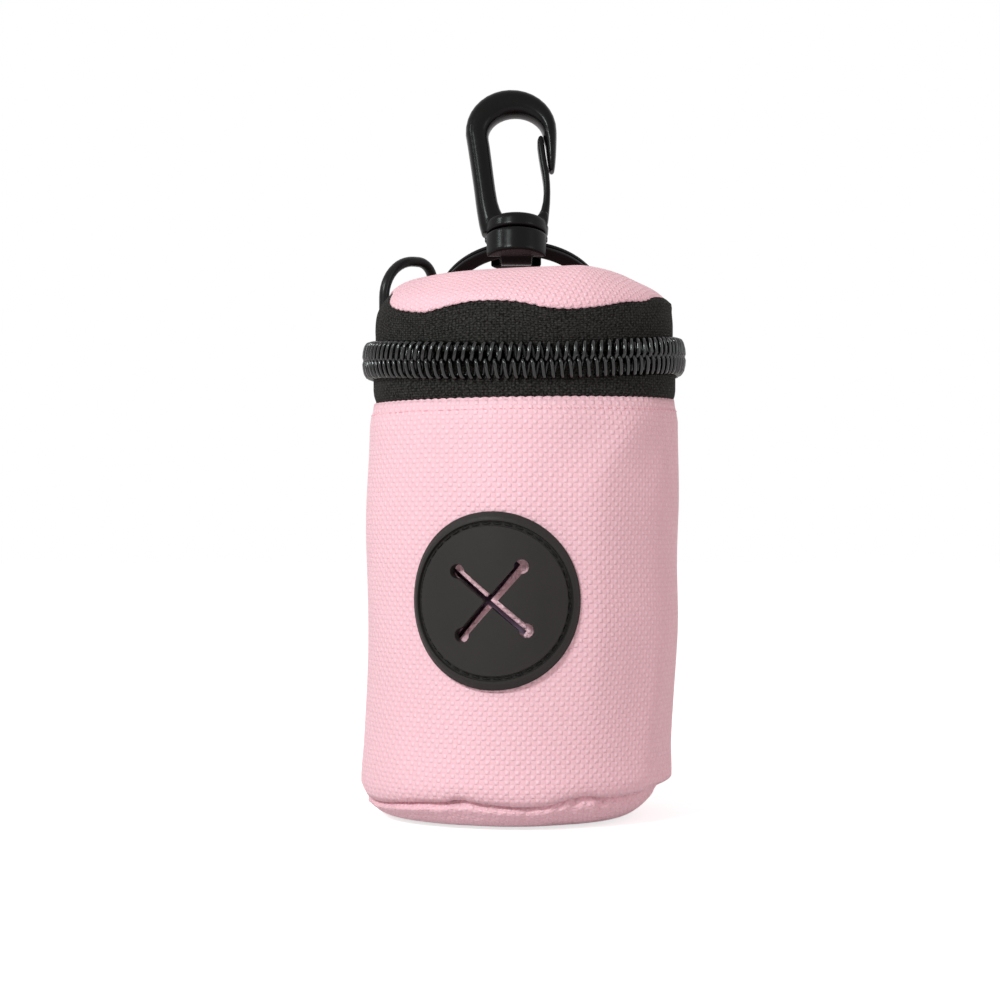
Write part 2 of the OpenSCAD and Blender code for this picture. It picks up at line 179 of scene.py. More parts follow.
class NodeSheet:
    """The node tree of a material or world, with short calls that add nodes and join them."""

    def __init__(self, owner: Any, shader: str = "Principled BSDF") -> None:
        """Starts with only the shader and output."""
        owner.use_nodes = True
        self.owner = owner
        self.nodes, self.links = owner.node_tree.nodes, owner.node_tree.links
        self.shader = self.nodes[shader]

    def feed(self, socket: bpy.types.NodeSocket, value: Any) -> None:
        """Joins a socket to another, or sets it to a value."""
        if isinstance(value, bpy.types.NodeSocket):
            self.links.new(value, socket)
        else:
            socket.default_value = value

    def paint(self, **values: Any) -> None:
        """Feeds sockets of the shader, with underscores for the spaces in their names."""
        for name, value in values.items():
            self.feed(self.shader.inputs[name.replace("_", " ")], value)

    def add(self, kind: str, entries: Iterable[tuple[Any, Any]] = (), **settings: Any) -> Any:
        """Adds a node, sets its own properties and feeds its inputs.

        Args:
            kind: Its type, without ShaderNode.
            entries: Pairs of input and what feeds it.
            settings: Its own properties.

        Returns:
            The node's outputs.
        """
        node = self.nodes.new("ShaderNode" + kind)
        for name, value in settings.items():
            setattr(node, name, value)
        for socket, value in entries:
            self.feed(node.inputs[socket], value)
        return node.outputs

    def maths(self, operation: str, *values: Any) -> Any:
        """Adds a Math node and returns its output."""
        return self.add("Math", enumerate(values), operation=operation)[0]

    def place(self) -> Any:
        """The point on the object, in metres."""
        return self.add("TexCoord")["Object"]

    def axes(self, source: Any) -> Any:
        """The parts of a vector along X, Y and Z."""
        return self.add("SeparateXYZ", ((0, source),))

    def cloud(self, scale: float, detail: float) -> Any:
        """Adds a noise with about scale features to a metre."""
        return self.add("TexNoise", (("Vector", self.place()), ("Scale", scale), ("Detail", detail)))["Fac"]

    def spread(self, value: Any, low: float, high: float, to_low: float, to_high: float) -> Any:
        """Maps one span of numbers to another."""
        return self.add("MapRange", enumerate((value, low, high, to_low, to_high)))[0]

    def blend(self, share: Any, first: Any, second: Any, mode: str = "MIX") -> Any:
        """Mixes two colours by a share from 0 to 1."""
        entries = ((0, share), (6, first), (7, second))
        return self.add("Mix", entries, data_type="RGBA", blend_type=mode)[2]

    def relief(self, height: Any, depth: float) -> None:
        """Raises the surface by a height map whose full range is depth millimetres."""
        entries = (("Strength", 1.0), ("Distance", depth * MM), ("Height", height))
        self.paint(Normal=self.add("Bump", entries)[0])

    def seen_ray(self) -> Any:
        """Gives 1 to camera, glossy and transmission rays."""
        path = self.add("LightPath")
        shown = self.maths("MAXIMUM", path["Is Camera Ray"], path["Is Glossy Ray"])
        return self.maths("MAXIMUM", shown, path["Is Transmission Ray"])


def shade(screen: Triple) -> Colour:
    """Turns a screen colour of 0 to 255 into the renderer's own."""
    red, green, blue = [
        part / 255 / 12.92 if part <= 10 else ((part / 255 + 0.055) / 1.055) ** 2.4 for part in screen
    ]
    return (red, green, blue, 1.0)


@dataclass(frozen=True)
class Finish:
    """A surface whose nodes mix two screen colours."""

    name: str
    main: Triple
    other: Triple

    @functools.cache
    def material(self) -> bpy.types.Material:
        """Builds the material, once for all pieces."""
        sheet = NodeSheet(bpy.data.materials.new(self.name))
        self.draw(sheet)
        return sheet.owner

    def draw(self, sheet: NodeSheet) -> None:
        """Adds the nodes."""
        raise NotImplementedError


@dataclass(frozen=True)
class Weave(Finish):
    """A plain woven cloth whose upright yarns float over its cross yarns."""

    upright_pitch: float = 0.785
    cross_pitch: float = 0.75
    floats: float = 0.08
    cross_share: float = 0.2
    depth: float = 0.2
    roughness: float = 0.6
    sheen: float = 0.12
    gloss: float = 0.4
    fade: float = 0.05
    specks: float = 0.15
    grit: float = 1100.0
    drift: float = 0.5
    fibres: float = 0.2
    upright_power: float = 0.75
    cross_power: float = 0.8

    def heights(self, sheet: NodeSheet, across: Any, up: Any) -> Any:
        """Gives the height of the yarns from sine waves across and up.

        Args:
            sheet: Where the nodes go.
            across: The wave across.
            up: The wave up.

        Returns:
            The height, from 0 to 1.
        """
        product = sheet.maths("MULTIPLY", across, up)
        crest = sheet.maths("ABSOLUTE", across)
        floated = sheet.maths("MULTIPLY_ADD", crest, self.floats, product)
        over = sheet.maths("MAXIMUM", sheet.maths("DIVIDE", floated, 1 + self.floats), 0.0)
        sunk = sheet.maths("MULTIPLY_ADD", crest, -self.floats, sheet.maths("MULTIPLY", product, -1.0))
        under = sheet.maths("POWER", sheet.maths("MAXIMUM", sunk, 0.0), self.cross_power)
        over = sheet.maths("POWER", over, self.upright_power)
        return sheet.maths("MULTIPLY_ADD", under, self.cross_share, over)

    def draw(self, sheet: NodeSheet) -> None:
        """Adds the cloth's nodes.

        Args:
            sheet: Where the nodes go.
        """
        drift = sheet.spread(sheet.cloud(420, 1.0), 0.0, 1.0, -0.5, 0.5)
        spots = sheet.axes(sheet.add("UVMap", uv_map=CLOTH_UV)[0])
        beats = []
        for spot, pitch in zip(spots, (self.upright_pitch, self.cross_pitch)):
            moved = sheet.maths("MULTIPLY_ADD", drift, pitch * self.drift, spot)
            turns = sheet.maths("DIVIDE", moved, pitch)
            beats.append(sheet.maths("SINE", sheet.maths("MULTIPLY", turns, math.pi)))
        height = self.heights(sheet, *beats)
        height = sheet.maths("MULTIPLY_ADD", sheet.cloud(4200, 2.0), self.fibres, height)
        speck = sheet.spread(sheet.cloud(self.grit, 2.0), 0.38, 0.66, 0.0, 1.0)
        # The colour follows the yarn height: the gaps between yarns get painted shade and the crowns the
        # lighter colour, which on dark yarn is a painted highlight; the specks are the cloth's own tone.
        lift = sheet.maths("MULTIPLY", height, 1 - self.specks)
        tone = sheet.maths("MULTIPLY_ADD", speck, self.specks, lift)
        colour = sheet.blend(tone, shade(self.other), shade(self.main))
        fade = sheet.spread(sheet.cloud(60, 3.0), 0.3, 0.7, 1.0 - self.fade, 1.0)
        dimmer = sheet.add("CombineColor", enumerate((fade, fade, fade)))[0]
        sheet.relief(height, self.depth)
        sheet.paint(
            Base_Color=sheet.blend(1.0, colour, dimmer, "MULTIPLY"),
            Roughness=self.roughness,
            Specular_IOR_Level=self.gloss,
            Sheen_Weight=self.sheen,
            Sheen_Roughness=0.4,
        )


@dataclass(frozen=True)
class Moulding(Finish):
    """A moulded or coated surface with a fine grain and slow changes of gloss."""

    roughness: float = 0.34
    spread: float = 0.08
    grain: float = 900.0
    depth: float = 0.01
    metallic: float = 0.0
    gloss: float = 0.5

    def draw(self, sheet: NodeSheet) -> None:
        """Adds the surface's nodes.

        Args:
            sheet: Where the nodes go.
        """
        fine = sheet.cloud(self.grain, 3.0)
        share = sheet.spread(sheet.cloud(120, 3.0), 0.35, 0.75, 0.0, 0.7)
        low, high = self.roughness - self.spread, self.roughness + self.spread
        sheet.relief(fine, self.depth)
        sheet.paint(
            Base_Color=sheet.blend(share, shade(self.main), shade(self.other)),
            Roughness=sheet.spread(fine, 0.3, 0.7, low, high),
            Metallic=self.metallic,
            Specular_IOR_Level=self.gloss,
        )


@dataclass(frozen=True)
class Thread(Finish):
    """A sewing thread with a twist."""

    turns: float = 900.0

    def draw(self, sheet: NodeSheet) -> None:
        """Adds the thread's nodes.

        Args:
            sheet: Where the nodes go.
        """
        entries = (("Vector", sheet.place()), ("Scale", self.turns), ("Distortion", 1.5))
        twist = sheet.add("TexWave", entries, wave_type="BANDS", bands_direction="DIAGONAL")["Fac"]
        sheet.relief(twist, 0.06)
        colour = sheet.blend(twist, shade(self.other), shade(self.main))
        sheet.paint(Base_Color=colour, Roughness=0.7, Specular_IOR_Level=0.25)


@dataclass(frozen=True)
class Film(Finish):
    """A thin plastic bag film, a little shiny, with fine wound layers and creases."""

    layer: float = 0.45

    def draw(self, sheet: NodeSheet) -> None:
        """Adds the film's nodes.

        Args:
            sheet: Where the nodes go.
        """
        x, y = sheet.axes(sheet.place())[:2]
        squares = [sheet.maths("POWER", part, 2.0) for part in (x, y)]
        radius = sheet.maths("SQRT", sheet.maths("ADD", *squares))
        layers = sheet.maths("SINE", sheet.maths("MULTIPLY", radius, 2 * math.pi / (self.layer * MM)))
        crease = sheet.cloud(140, 5.0)
        tone = sheet.maths("MULTIPLY_ADD", layers, 0.18, sheet.spread(crease, 0.3, 0.7, 0.35, 0.85))
        sheet.relief(sheet.maths("MULTIPLY_ADD", layers, 0.12, crease), 0.25)
        colour = sheet.blend(tone, shade(self.other), shade(self.main))
        sheet.paint(Base_Color=colour, Roughness=0.34, Specular_IOR_Level=0.5)


@dataclass(frozen=True)
class Card(Finish):
    """Brown card wound in a spiral."""

    climb: float = 16.0

    def draw(self, sheet: NodeSheet) -> None:
        """Adds the card's nodes.

        Args:
            sheet: Where the nodes go.
        """
        x, y, z = sheet.axes(sheet.place())
        turn = sheet.maths("ARCTAN2", y, x)
        rise = sheet.maths("MULTIPLY", z, 1 / (self.climb * MM))
        spiral = sheet.maths("FRACT", sheet.maths("MULTIPLY_ADD", turn, 1 / (2 * math.pi), rise))
        line = sheet.maths("LESS_THAN", spiral, 0.05)
        fibres = sheet.cloud(1400, 4.0)
        board, seam = shade(self.main), shade(self.other)
        colour = sheet.blend(sheet.spread(fibres, 0.3, 0.7, 0.0, 0.5), board, seam)
        sheet.relief(sheet.maths("SUBTRACT", fibres, line), 0.06)
        sheet.paint(Base_Color=sheet.blend(line, colour, seam), Roughness=0.92, Specular_IOR_Level=0.15)


# Each weave's second colour is painted shade in the gaps between its yarns; its first is the yarn's own
# colour on the crowns.
PINK = Weave("pink_oxford", (245, 205, 215), (239, 188, 199), depth=0.15, roughness=0.62)
LINING = Weave("coated_back", (240, 192, 202), (222, 166, 176), depth=0.05, roughness=0.5)
# On the black tape and webbing the first colour is partly a painted highlight on the yarn crowns and partly
# the grey of their real specks; the second is the black yarn with painted shade in its gaps.
TAPE = Weave(
    "zip_tape", (66, 65, 63), (1, 1, 1), upright_pitch=0.6, cross_pitch=0.42, floats=0.1, cross_share=0.4,
    depth=0.16, roughness=0.8, sheen=0.0, gloss=0.04, fade=0.06, specks=0.55, grit=3300.0,
)
WEBBING = Weave(
    "black_webbing", (52, 50, 49), (8, 8, 8), upright_pitch=0.9, cross_pitch=0.6, floats=0.2,
    cross_share=0.7, roughness=0.8, sheen=0.0, gloss=0.08,
)
RUBBER = Moulding("patch_rubber", (44, 42, 41), (49, 46, 45), 0.5, 0.04, 2600, 0.006, gloss=0.12)
COIL = Moulding("nylon_coil", (4, 4, 4), (8, 7, 7), 0.17, 0.04, 900, 0.003)
PLASTIC = Moulding("hook_plastic", (9, 8, 8), (14, 12, 12), 0.25, 0.04, 1500, 0.003, gloss=0.115)
RING_COAT = Moulding("ring_coating", (10, 10, 10), (18, 17, 16), 0.26, 0.06, 700, 0.006, gloss=0.12)
LOOP_COAT = Moulding("loop_coating", (18, 17, 17), (32, 31, 30), 0.3, 0.06, 700, 0.008, gloss=0.16)
ZINC = Moulding("slider_paint", (20, 19, 20), (40, 39, 39), 0.34, 0.08, 600, 0.012, 0.1, 0.3)
STEEL = Moulding("pin_steel", (110, 110, 112), (90, 88, 86), metallic=1.0)
PINK_THREAD = Thread("pink_thread", (250, 206, 214), (216, 146, 158))
BLACK_THREAD = Thread("black_thread", (26, 25, 24), (4, 4, 4))
CARD = Card("core_card", (176, 140, 98), (128, 96, 62))
FILM = Film("bag_film", (196, 160, 190), (128, 88, 124))


@dataclass
class Piece:
    """What a finished mesh is called, made of and carried by."""

    name: str
    finish: Finish
    slot: str
    body: Optional[Body]
    stands_for: tuple[str, ...] = ()
    back: Optional[Finish] = None
    smooth_to: float = 42.0

    def build(self, bm: Mesh) -> Shown:
        """Turns a mesh in millimetres into the shown object.

        Args:
            bm: The mesh, which is freed.

        Returns:
            The object, at the origin and riding on its body.
        """
        bmesh.ops.scale(bm, vec=(MM, MM, MM), verts=bm.verts)
        mesh = stored(bm, self.name)
        mesh.materials.append(self.finish.material())
        if self.back:
            mesh.materials.append(self.back.material())
        mesh.shade_smooth()
        mesh.set_sharp_from_angle(angle=math.radians(self.smooth_to))
        shown = held(mesh, self.name)
        if self.stands_for:
            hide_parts(*self.stands_for)
        if self.body:
            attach(shown, self.body.value)
        LOG.info("%s: %d faces", self.name, len(mesh.polygons))
        return shown


def thicken(shown: Shown, wall: float) -> Shown:
    """Gives a sheet its thickness, inwards from its face.

    Args:
        shown: The sheet, whose last finish goes on its back.
        wall: The thickness.

    Returns:
        The sheet.
    """
    solid = shown.modifiers.new("Thickness", "SOLIDIFY")
    solid.thickness = wall * MM
    solid.offset = -1
    solid.use_even_offset = True
    solid.material_offset = len(shown.data.materials) - 1
    return shown


def soften(shown: Shown, width: float) -> Shown:
    """Rounds the sharp edges of a piece.

    Args:
        shown: The piece.
        width: Width of the rounding.

    Returns:
        The piece.
    """
    bevel = shown.modifiers.new("Rounding", "BEVEL")
    bevel.width = width * MM
    bevel.segments = 2
    bevel.limit_method = "ANGLE"
    bevel.angle_limit = math.radians(38)
    bevel.harden_normals = False
    return shown


def stored(bm: Mesh, name: str = "blank") -> bpy.types.Mesh:
    """Writes a mesh out and frees it."""
    mesh = bpy.data.meshes.new(name)
    bm.to_mesh(mesh)
    bm.free()
    return mesh


def held(data: Any, name: str = "blank") -> Shown:
    """Puts data into an object."""
    holder = bpy.data.objects.new(name, data)
    bpy.context.scene.collection.objects.link(holder)
    return holder


def released(*holders: Shown) -> Mesh:
    """Gives the evaluated mesh of the first object, and removes every object with its data.

    Args:
        holders: The object and any that its modifiers use.

    Returns:
        The mesh.
    """
    ready = holders[0].evaluated_get(bpy.context.evaluated_depsgraph_get())
    mesh = bpy.data.meshes.new_from_object(ready)
    bm = bmesh.new()
    bm.from_mesh(mesh)
    bpy.data.meshes.remove(mesh)
    for holder in holders:
        bpy.data.batch_remove([holder.data, holder])
    return bm


def joined(parts: Sequence[Mesh]) -> Mesh:
    """Puts several meshes into the first and frees the others.

    Args:
        parts: The meshes.

    Returns:
        The first mesh.
    """
    for part in parts[1:]:
        store = stored(part)
        parts[0].from_mesh(store)
        bpy.data.meshes.remove(store)
    return parts[0]


def moulded(bm: Mesh, cell: float, passes: int) -> Mesh:
    """Fuses overlapping shapes into one skin with soft fillets between them.

    Args:
        bm: Closed shapes in millimetres, which are freed.
        cell: Size of the skin's cells.
        passes: Rounds of smoothing.

    Returns:
        The fused mesh.
    """
    holder = held(stored(bm))
    skin = holder.modifiers.new("Skin", "REMESH")
    skin.mode = "VOXEL"
    skin.voxel_size = cell
    calm = holder.modifiers.new("Calm", "SMOOTH")
    calm.factor = 0.5
    calm.iterations = passes
    return released(holder)


def carved(bm: Mesh, cutter: Mesh) -> Mesh:
    """Cuts one closed mesh out of another and frees both.

    Args:
        bm: The mesh that is cut.
        cutter: What is taken away.

    Returns:
        The cut mesh.
    """
    whole, tool = held(stored(bm)), held(stored(cutter))
    cut = whole.modifiers.new("Cut", "BOOLEAN")
    cut.operation = "DIFFERENCE"
    cut.solver = "EXACT"
    cut.object = tool
    return released(whole, tool)


def basis(wide: Vector, deep: Vector, along: Vector, centre: Vector) -> Matrix:
    """A frame from its three axes and its centre."""
    return Matrix.Translation(centre) @ Matrix((wide, deep, along)).transposed().to_4x4()


def section_frame(centre: Vector, wide: Vector, deep: Vector) -> Matrix:
    """The frame of a section from its centre and its two half axes."""
    return basis(wide, deep, wide.cross(deep).normalized(), centre)


def facing(angle: float, spot: Vector, upright: bool = False) -> Matrix:
    """A frame at a spot on the pouch's side, with Z outwards and X level or upright.

    Args:
        angle: Degrees from the front.
        spot: The frame's centre.
        upright: Whether X points up.

    Returns:
        The frame.
    """
    out = around(1, angle, 0)
    level = UP.cross(out)
    return basis(UP, -level, out, spot) if upright else basis(level, UP, out, spot)


def sewn_sheet(columns: int, rows: int, place: Place, flat: Flat) -> Mesh:
    """Lays out a flat grid of cloth, notes its flat place, and moves it into its sewn shape.

    Args:
        columns: Cells across.
        rows: Cells up.
        place: Turns shares across and up into a point, with across growing to the right.
        flat: Turns the same shares into millimetres on the flat cloth.

    Returns:
        The mesh in millimetres.
    """
    bm = bmesh.new()
    bmesh.ops.create_grid(bm, x_segments=columns, y_segments=rows, size=0.5)
    layer = bm.loops.layers.uv.new(CLOTH_UV)
    for face in bm.faces:
        for corner in face.loops:
            spot = corner.vert.co
            corner[layer].uv = flat(spot.x + 0.5, spot.y + 0.5)
    for vert in bm.verts:
        vert.co = place(vert.co.x + 0.5, vert.co.y + 0.5)
    bmesh.ops.remove_doubles(bm, verts=bm.verts, dist=MERGE)
    return bm


def strip(width: float, height: float) -> Flat:
    """Lays a strip of cloth out flat at its width and height."""
    return lambda across, up: (across * width, up * height)


def ring_of(bm: Mesh, frame: Matrix, sides: int, square: float) -> list[Any]:
    """Makes one closed section for a sweep.

    Args:
        bm: The mesh it goes into.
        frame: Turns the unit section into its place.
        sides: Points round the section.
        square: 2 for an ellipse, more for a squarer section.

    Returns:
        The section's edges.
    """
    made = bmesh.ops.create_circle(bm, segments=sides, radius=1.0)["verts"]
    for vert in made:
        for axis in (0, 1):
            part = vert.co[axis]
            vert.co[axis] = math.copysign(abs(part) ** (2 / square), part)
    bmesh.ops.transform(bm, matrix=frame, verts=made)
    own = set(made)
    return [edge for edge in bm.edges if edge.verts[0] in own and edge.verts[1] in own]


def swept(frames: Sequence[Matrix], sides: int, square: float) -> Mesh:
    """Joins a row of sections into one smooth bar with closed ends.

    Args:
        frames: The place, width and depth of each section.
        sides: Points round a section.
        square: How square the section is, from 2 for round.

    Returns:
        The mesh in millimetres.
    """
    bm = bmesh.new()
    first = last = ring_of(bm, frames[0], sides, square)
    for frame in frames[1:]:
        section = ring_of(bm, frame, sides, square)
        bmesh.ops.bridge_loops(bm, edges=last + section)
        last = section
    for end in (first, last):
        bmesh.ops.edgeloop_fill(bm, edges=end)
    bmesh.ops.recalc_face_normals(bm, faces=bm.faces)
    return bm


def wire(points: Sequence[Vector], radius: float, rounding: int, closed: bool = False) -> Mesh:
    """Draws a round wire along points.

    Args:
        points: The wire's middle line.
        radius: Its radius.
        rounding: Extra pairs of sides past four.
        closed: Whether it joins its own start.

    Returns:
        The mesh in millimetres.
    """
    line = bpy.data.curves.new("line", "CURVE")
    line.dimensions = "3D"
    line.bevel_depth = radius
    line.bevel_resolution = rounding
    line.use_fill_caps = not closed
    path = line.splines.new("POLY")
    path.points.add(len(points) - 1)
    for knot, point in zip(path.points, points):
        knot.co = (*point, 1)
    path.use_cyclic_u = closed
    bm = released(held(line))
    bmesh.ops.remove_doubles(bm, verts=bm.verts, dist=2 * MERGE)
    return bm


def turned(profile: Sequence[Point], steps: int, closed: bool = True) -> Mesh:
    """Turns a profile of radius and height round the upright axis.

    Args:
        profile: Points from the bottom outwards and up.
        steps: Steps round the turn.
        closed: Whether the profile's ends join.

    Returns:
        The mesh in millimetres.
    """
    bm = bmesh.new()
    verts = [bm.verts.new((radius, 0, height)) for radius, height in profile]
    edges = [bm.edges.new(pair) for pair in zip(verts, verts[1:])]
    if closed:
        edges.append(bm.edges.new((verts[-1], verts[0])))
    bmesh.ops.spin(
        bm, geom=verts + edges, axis=UP, cent=(0, 0, 0), angle=2 * math.pi, steps=steps, use_merge=True
    )
    bmesh.ops.remove_doubles(bm, verts=bm.verts, dist=2 * MERGE)
    bmesh.ops.recalc_face_normals(bm, faces=bm.faces)
    return bm


def stitches(places: Sequence[Matrix], length: float, width: float) -> Mesh:
    """Makes one rounded stitch at each place.

    Args:
        places: Frames with X along the stitch and Z out of the cloth.
        length: Length of a stitch.
        width: Width of its thread.

    Returns:
        The mesh in millimetres.
    """
    bm = bmesh.new()
    shape = Matrix.Diagonal((length / 2, width / 2, width / 2, 1))
    for place in places:
        bmesh.ops.create_uvsphere(bm, u_segments=8, v_segments=5, radius=1.0, matrix=place @ shape)
    return bm


def block(bm: Mesh, frame: Matrix, size: Triple, rounding: float = 0.0, segments: int = 2) -> Mesh:
    """Adds a box to a mesh, with its edges rounded where that is asked.

    Args:
        bm: The mesh it goes into.
        frame: The box's centre and axes.
        size: Its three sizes.
        rounding: Width of the rounding, or 0 for sharp edges.
        segments: Steps across the rounding.

    Returns:
        The mesh.
    """
    made = bmesh.ops.create_cube(bm, size=1.0, matrix=frame @ Matrix.Diagonal((*size, 1)))
    if rounding:
        edges = list(dict.fromkeys(edge for vert in made["verts"] for edge in vert.link_edges))
        bmesh.ops.bevel(
            bm, geom=edges, offset=rounding, segments=segments, profile=0.5, affect="EDGES", material=-1
        )
    return bm


def rod(frame: Matrix, radius: float, length: float, sides: int) -> Mesh:
    """Makes a closed cylinder about the Z axis of a frame.

    Args:
        frame: The cylinder's centre and axes.
        radius: Its radius.
        length: Its length.
        sides: Faces round it.

    Returns:
        The mesh in millimetres.
    """
    bm = bmesh.new()
    bmesh.ops.create_cone(
        bm, cap_ends=True, segments=sides, radius1=radius, radius2=radius, depth=length, matrix=frame
    )
    return bm


def slab(cuts: int, place: Callable[[float, float, float], Vector]) -> Mesh:
    """Makes a finely cut box and moves its points, given from -1 to 1 along each axis.

    Args:
        cuts: Cuts across each edge.
        place: Turns a point of the box into its place.

    Returns:
        The mesh in millimetres.
    """
    bm = bmesh.new()
    bmesh.ops.create_cube(bm, size=2.0)
    bmesh.ops.subdivide_edges(bm, edges=bm.edges, cuts=cuts, use_grid_fill=True)
    for vert in bm.verts:
        vert.co = place(*vert.co)
    bmesh.ops.recalc_face_normals(bm, faces=bm.faces)
    return bm


@dataclass
class SidePanel:
    """The pink cloth round the pouch, from the base seam to the zip."""

    radius: float = 25.12
    wall: float = 0.9
    mouth: float = 67.3
    mouth_tilt: float = 0.35
    columns: int = 654
    rows: int = 60
    scallop: float = 0.16
    scallop_pitch: float = 1.45
    hem_drop: float = 1.9
    hem_stitches: int = 108
    hem_stitch: Point = (1.15, 0.24)
    patch_angle: float = 11.4
    patch_height: float = 35.8
    slit_shift: float = 0.85
    slit_half: float = 0.42
    slit_reach: float = 7.7
    slit_turn: float = 4.4
    slit_area: float = 11.0
    seam: tuple[Point, ...] = (
        (-190, 4.9), (-150, 4.7), (-115, 5.6), (-90, 6.5), (-75, 6.2), (-61, 5.75), (-50, 5.2), (-40, 5.0),
        (-32, 5.1), (-26, 5.4), (-18, 4.98), (-11, 4.2), (-1, 4.0), (3, 4.1), (13, 4.5), (20, 4.97),
        (23, 4.9), (27.5, 4.5), (36, 4.3), (44, 4.0), (56, 3.5), (67, 3.3), (90, 3.75), (130, 4.4),
        (170, 4.9), (210, 4.7),
    )
    ridge: tuple[Point, ...] = (
        (0, -30), (11, -28), (20, -26), (45, -26), (53.6, -27), (56.7, -30), (60.6, -36), (65.2, -42),
        (70, -47),
    )
    ridge_shape: tuple[Triple, ...] = ((0.25, 0, 6.5), (0.25, 0, 13), (-0.34, -20, 11), (-0.12, 18, 9))
    swells: tuple[Triple, ...] = ((0.42, 50, 9), (0.22, 33, 9), (0.3, 6, 4))
    folds: tuple[tuple[float, ...], ...] = ((0.35, -57.2, -0.4, 8, 18, 12), (0.2, 34, 0, 8, 57, 12))

    @property
    def girth(self) -> float:
        """Width of the flat cloth."""
        return 2 * math.pi * self.radius

    def lean(self, height: float) -> float:
        """How far the soft bag has settled to one side at a height."""
        return -1.3 * (1 - ease(4, 34, height)) - 0.28 * hump(44, 9, height)

    def seam_height(self, angle: float) -> float:
        """Height of the base seam at an angle."""
        return through(self.seam, wrapped(angle))

    def fullness(self, angle: float, height: float) -> float:
        """Radius of the cloth, with its soft folds.

        Args:
            angle: Degrees from the front.
            height: Height above the floor.

        Returns:
            The radius.
        """
        turn = wrapped(angle)
        strength = ease(4, 30, height) * (1 - 0.7 * ease(60, 67, height))
        out = humps(self.swells, height)
        out += humps(self.ridge_shape, turn - through(self.ridge, height)) * strength
        for amount, middle, drift, spread, level, reach in self.folds:
            middle += drift * (height - level)
            out += amount * hump(middle, spread, turn) * hump(level, reach, height)
        out += 0.1 * math.sin(math.radians(3 * angle + 40) + height / 17)
        out -= 0.06 * hump(self.mouth - self.hem_drop, 0.4, height)
        away = math.hypot(math.radians(turn - self.patch_angle) * self.radius, height - self.patch_height)
        return self.radius + out - 0.2 * (1 - ease(8.0, 11.5, away))

    def edge(self, angle: float) -> float:
        """Height of the scalloped top edge at an angle."""
        beat = abs(math.sin(math.pi * math.radians(angle) * self.radius / self.scallop_pitch))
        return self.mouth + self.mouth_tilt * math.sin(math.radians(-angle)) - self.scallop * (1 - beat)

    def point(self, angle: float, height: float) -> Vector:
        """Finds a point of the cloth's face, which tucks in at both its edges.

        Args:
            angle: Degrees from the front.
            height: Height above the floor.

        Returns:
            The point.
        """
        foot = 0.75 - 0.7 * hump(-88, 26, wrapped(angle))
        foot *= 1 - ease(0.0, 1.6, height - self.seam_height(angle))
        head = 0.6 * ease(-3.4, 0.0, height - self.edge(angle))
        spot = around(self.fullness(angle, height) - foot - head, angle, height)
        spot.x += self.lean(height)
        return spot

    def cut_slits(self, bm: Mesh) -> None:
        """Cuts the crossed slits behind the patch out of the flat cloth.

        Args:
            bm: The flat cloth.
        """
        across = (180 - self.patch_angle) / 360 * self.girth - self.slit_shift
        middle = Vector((across, self.patch_height, 0))
        turns = [math.radians(heading + self.slit_turn) for heading in (45, 135)]
        arms = [Vector((math.cos(turn), math.sin(turn), 0)) for turn in turns]
        for along, beside in (arms, arms[::-1]):
            for side in (-1, 1):
                for normal, reach in ((along, self.slit_reach), (beside, self.slit_half)):
                    faces = [
                        face for face in bm.faces
                        if (face.calc_center_median() - middle).length < self.slit_area
                    ]
                    edges = dict.fromkeys(edge for face in faces for edge in face.edges)
                    verts = dict.fromkeys(vert for face in faces for vert in face.verts)
                    spot = middle + normal * side * reach
                    geom = [*verts, *edges, *faces]
                    bmesh.ops.bisect_plane(bm, geom=geom, plane_co=spot, plane_no=normal)
        gone = []
        for face in bm.faces:
            aways = sorted(abs((face.calc_center_median() - middle).dot(arm)) for arm in arms)
            if aways[0] < self.slit_half and aways[1] < self.slit_reach:
                gone.append(face)
        bmesh.ops.delete(bm, geom=gone, context="FACES")

    def build(self) -> None:
        """Builds the panel and the stitches of its hem."""
        bm = bmesh.new()
        bmesh.ops.create_grid(bm, x_segments=self.columns, y_segments=self.rows, size=0.5)
        for vert in bm.verts:
            across, up = vert.co.x + 0.5, vert.co.y + 0.5
            wave = math.sin(2 * math.pi * up)
            share = up + 0.11 * wave * (up - 1) / 2 + 0.03 * wave
            foot, head = self.seam_height(whole_turn(across)), self.edge(whole_turn(across))
            vert.co = (across * self.girth, foot + (head - foot) * share, 0)
        self.cut_slits(bm)
        layer = bm.loops.layers.uv.new(CLOTH_UV)
        for face in bm.faces:
            for corner in face.loops:
                corner[layer].uv = corner.vert.co.xy
        for vert in bm.verts:
            vert.co = self.point(whole_turn(vert.co.x / self.girth), vert.co.y)
        bmesh.ops.remove_doubles(bm, verts=bm.verts, dist=MERGE)
        piece = Piece("side_cloth", PINK, "pouch_fabric", Body.POUCH, ("side_panel",), LINING)
        thicken(piece.build(bm), self.wall)
        places = []
        for count in range(self.hem_stitches):
            angle = whole_turn((count + 0.5) / self.hem_stitches)
            places.append(facing(angle, self.point(angle, self.edge(angle) - self.hem_drop)))
        piece = Piece("mouth_thread", PINK_THREAD, "pink_thread", Body.POUCH)
        piece.build(stitches(places, *self.hem_stitch))


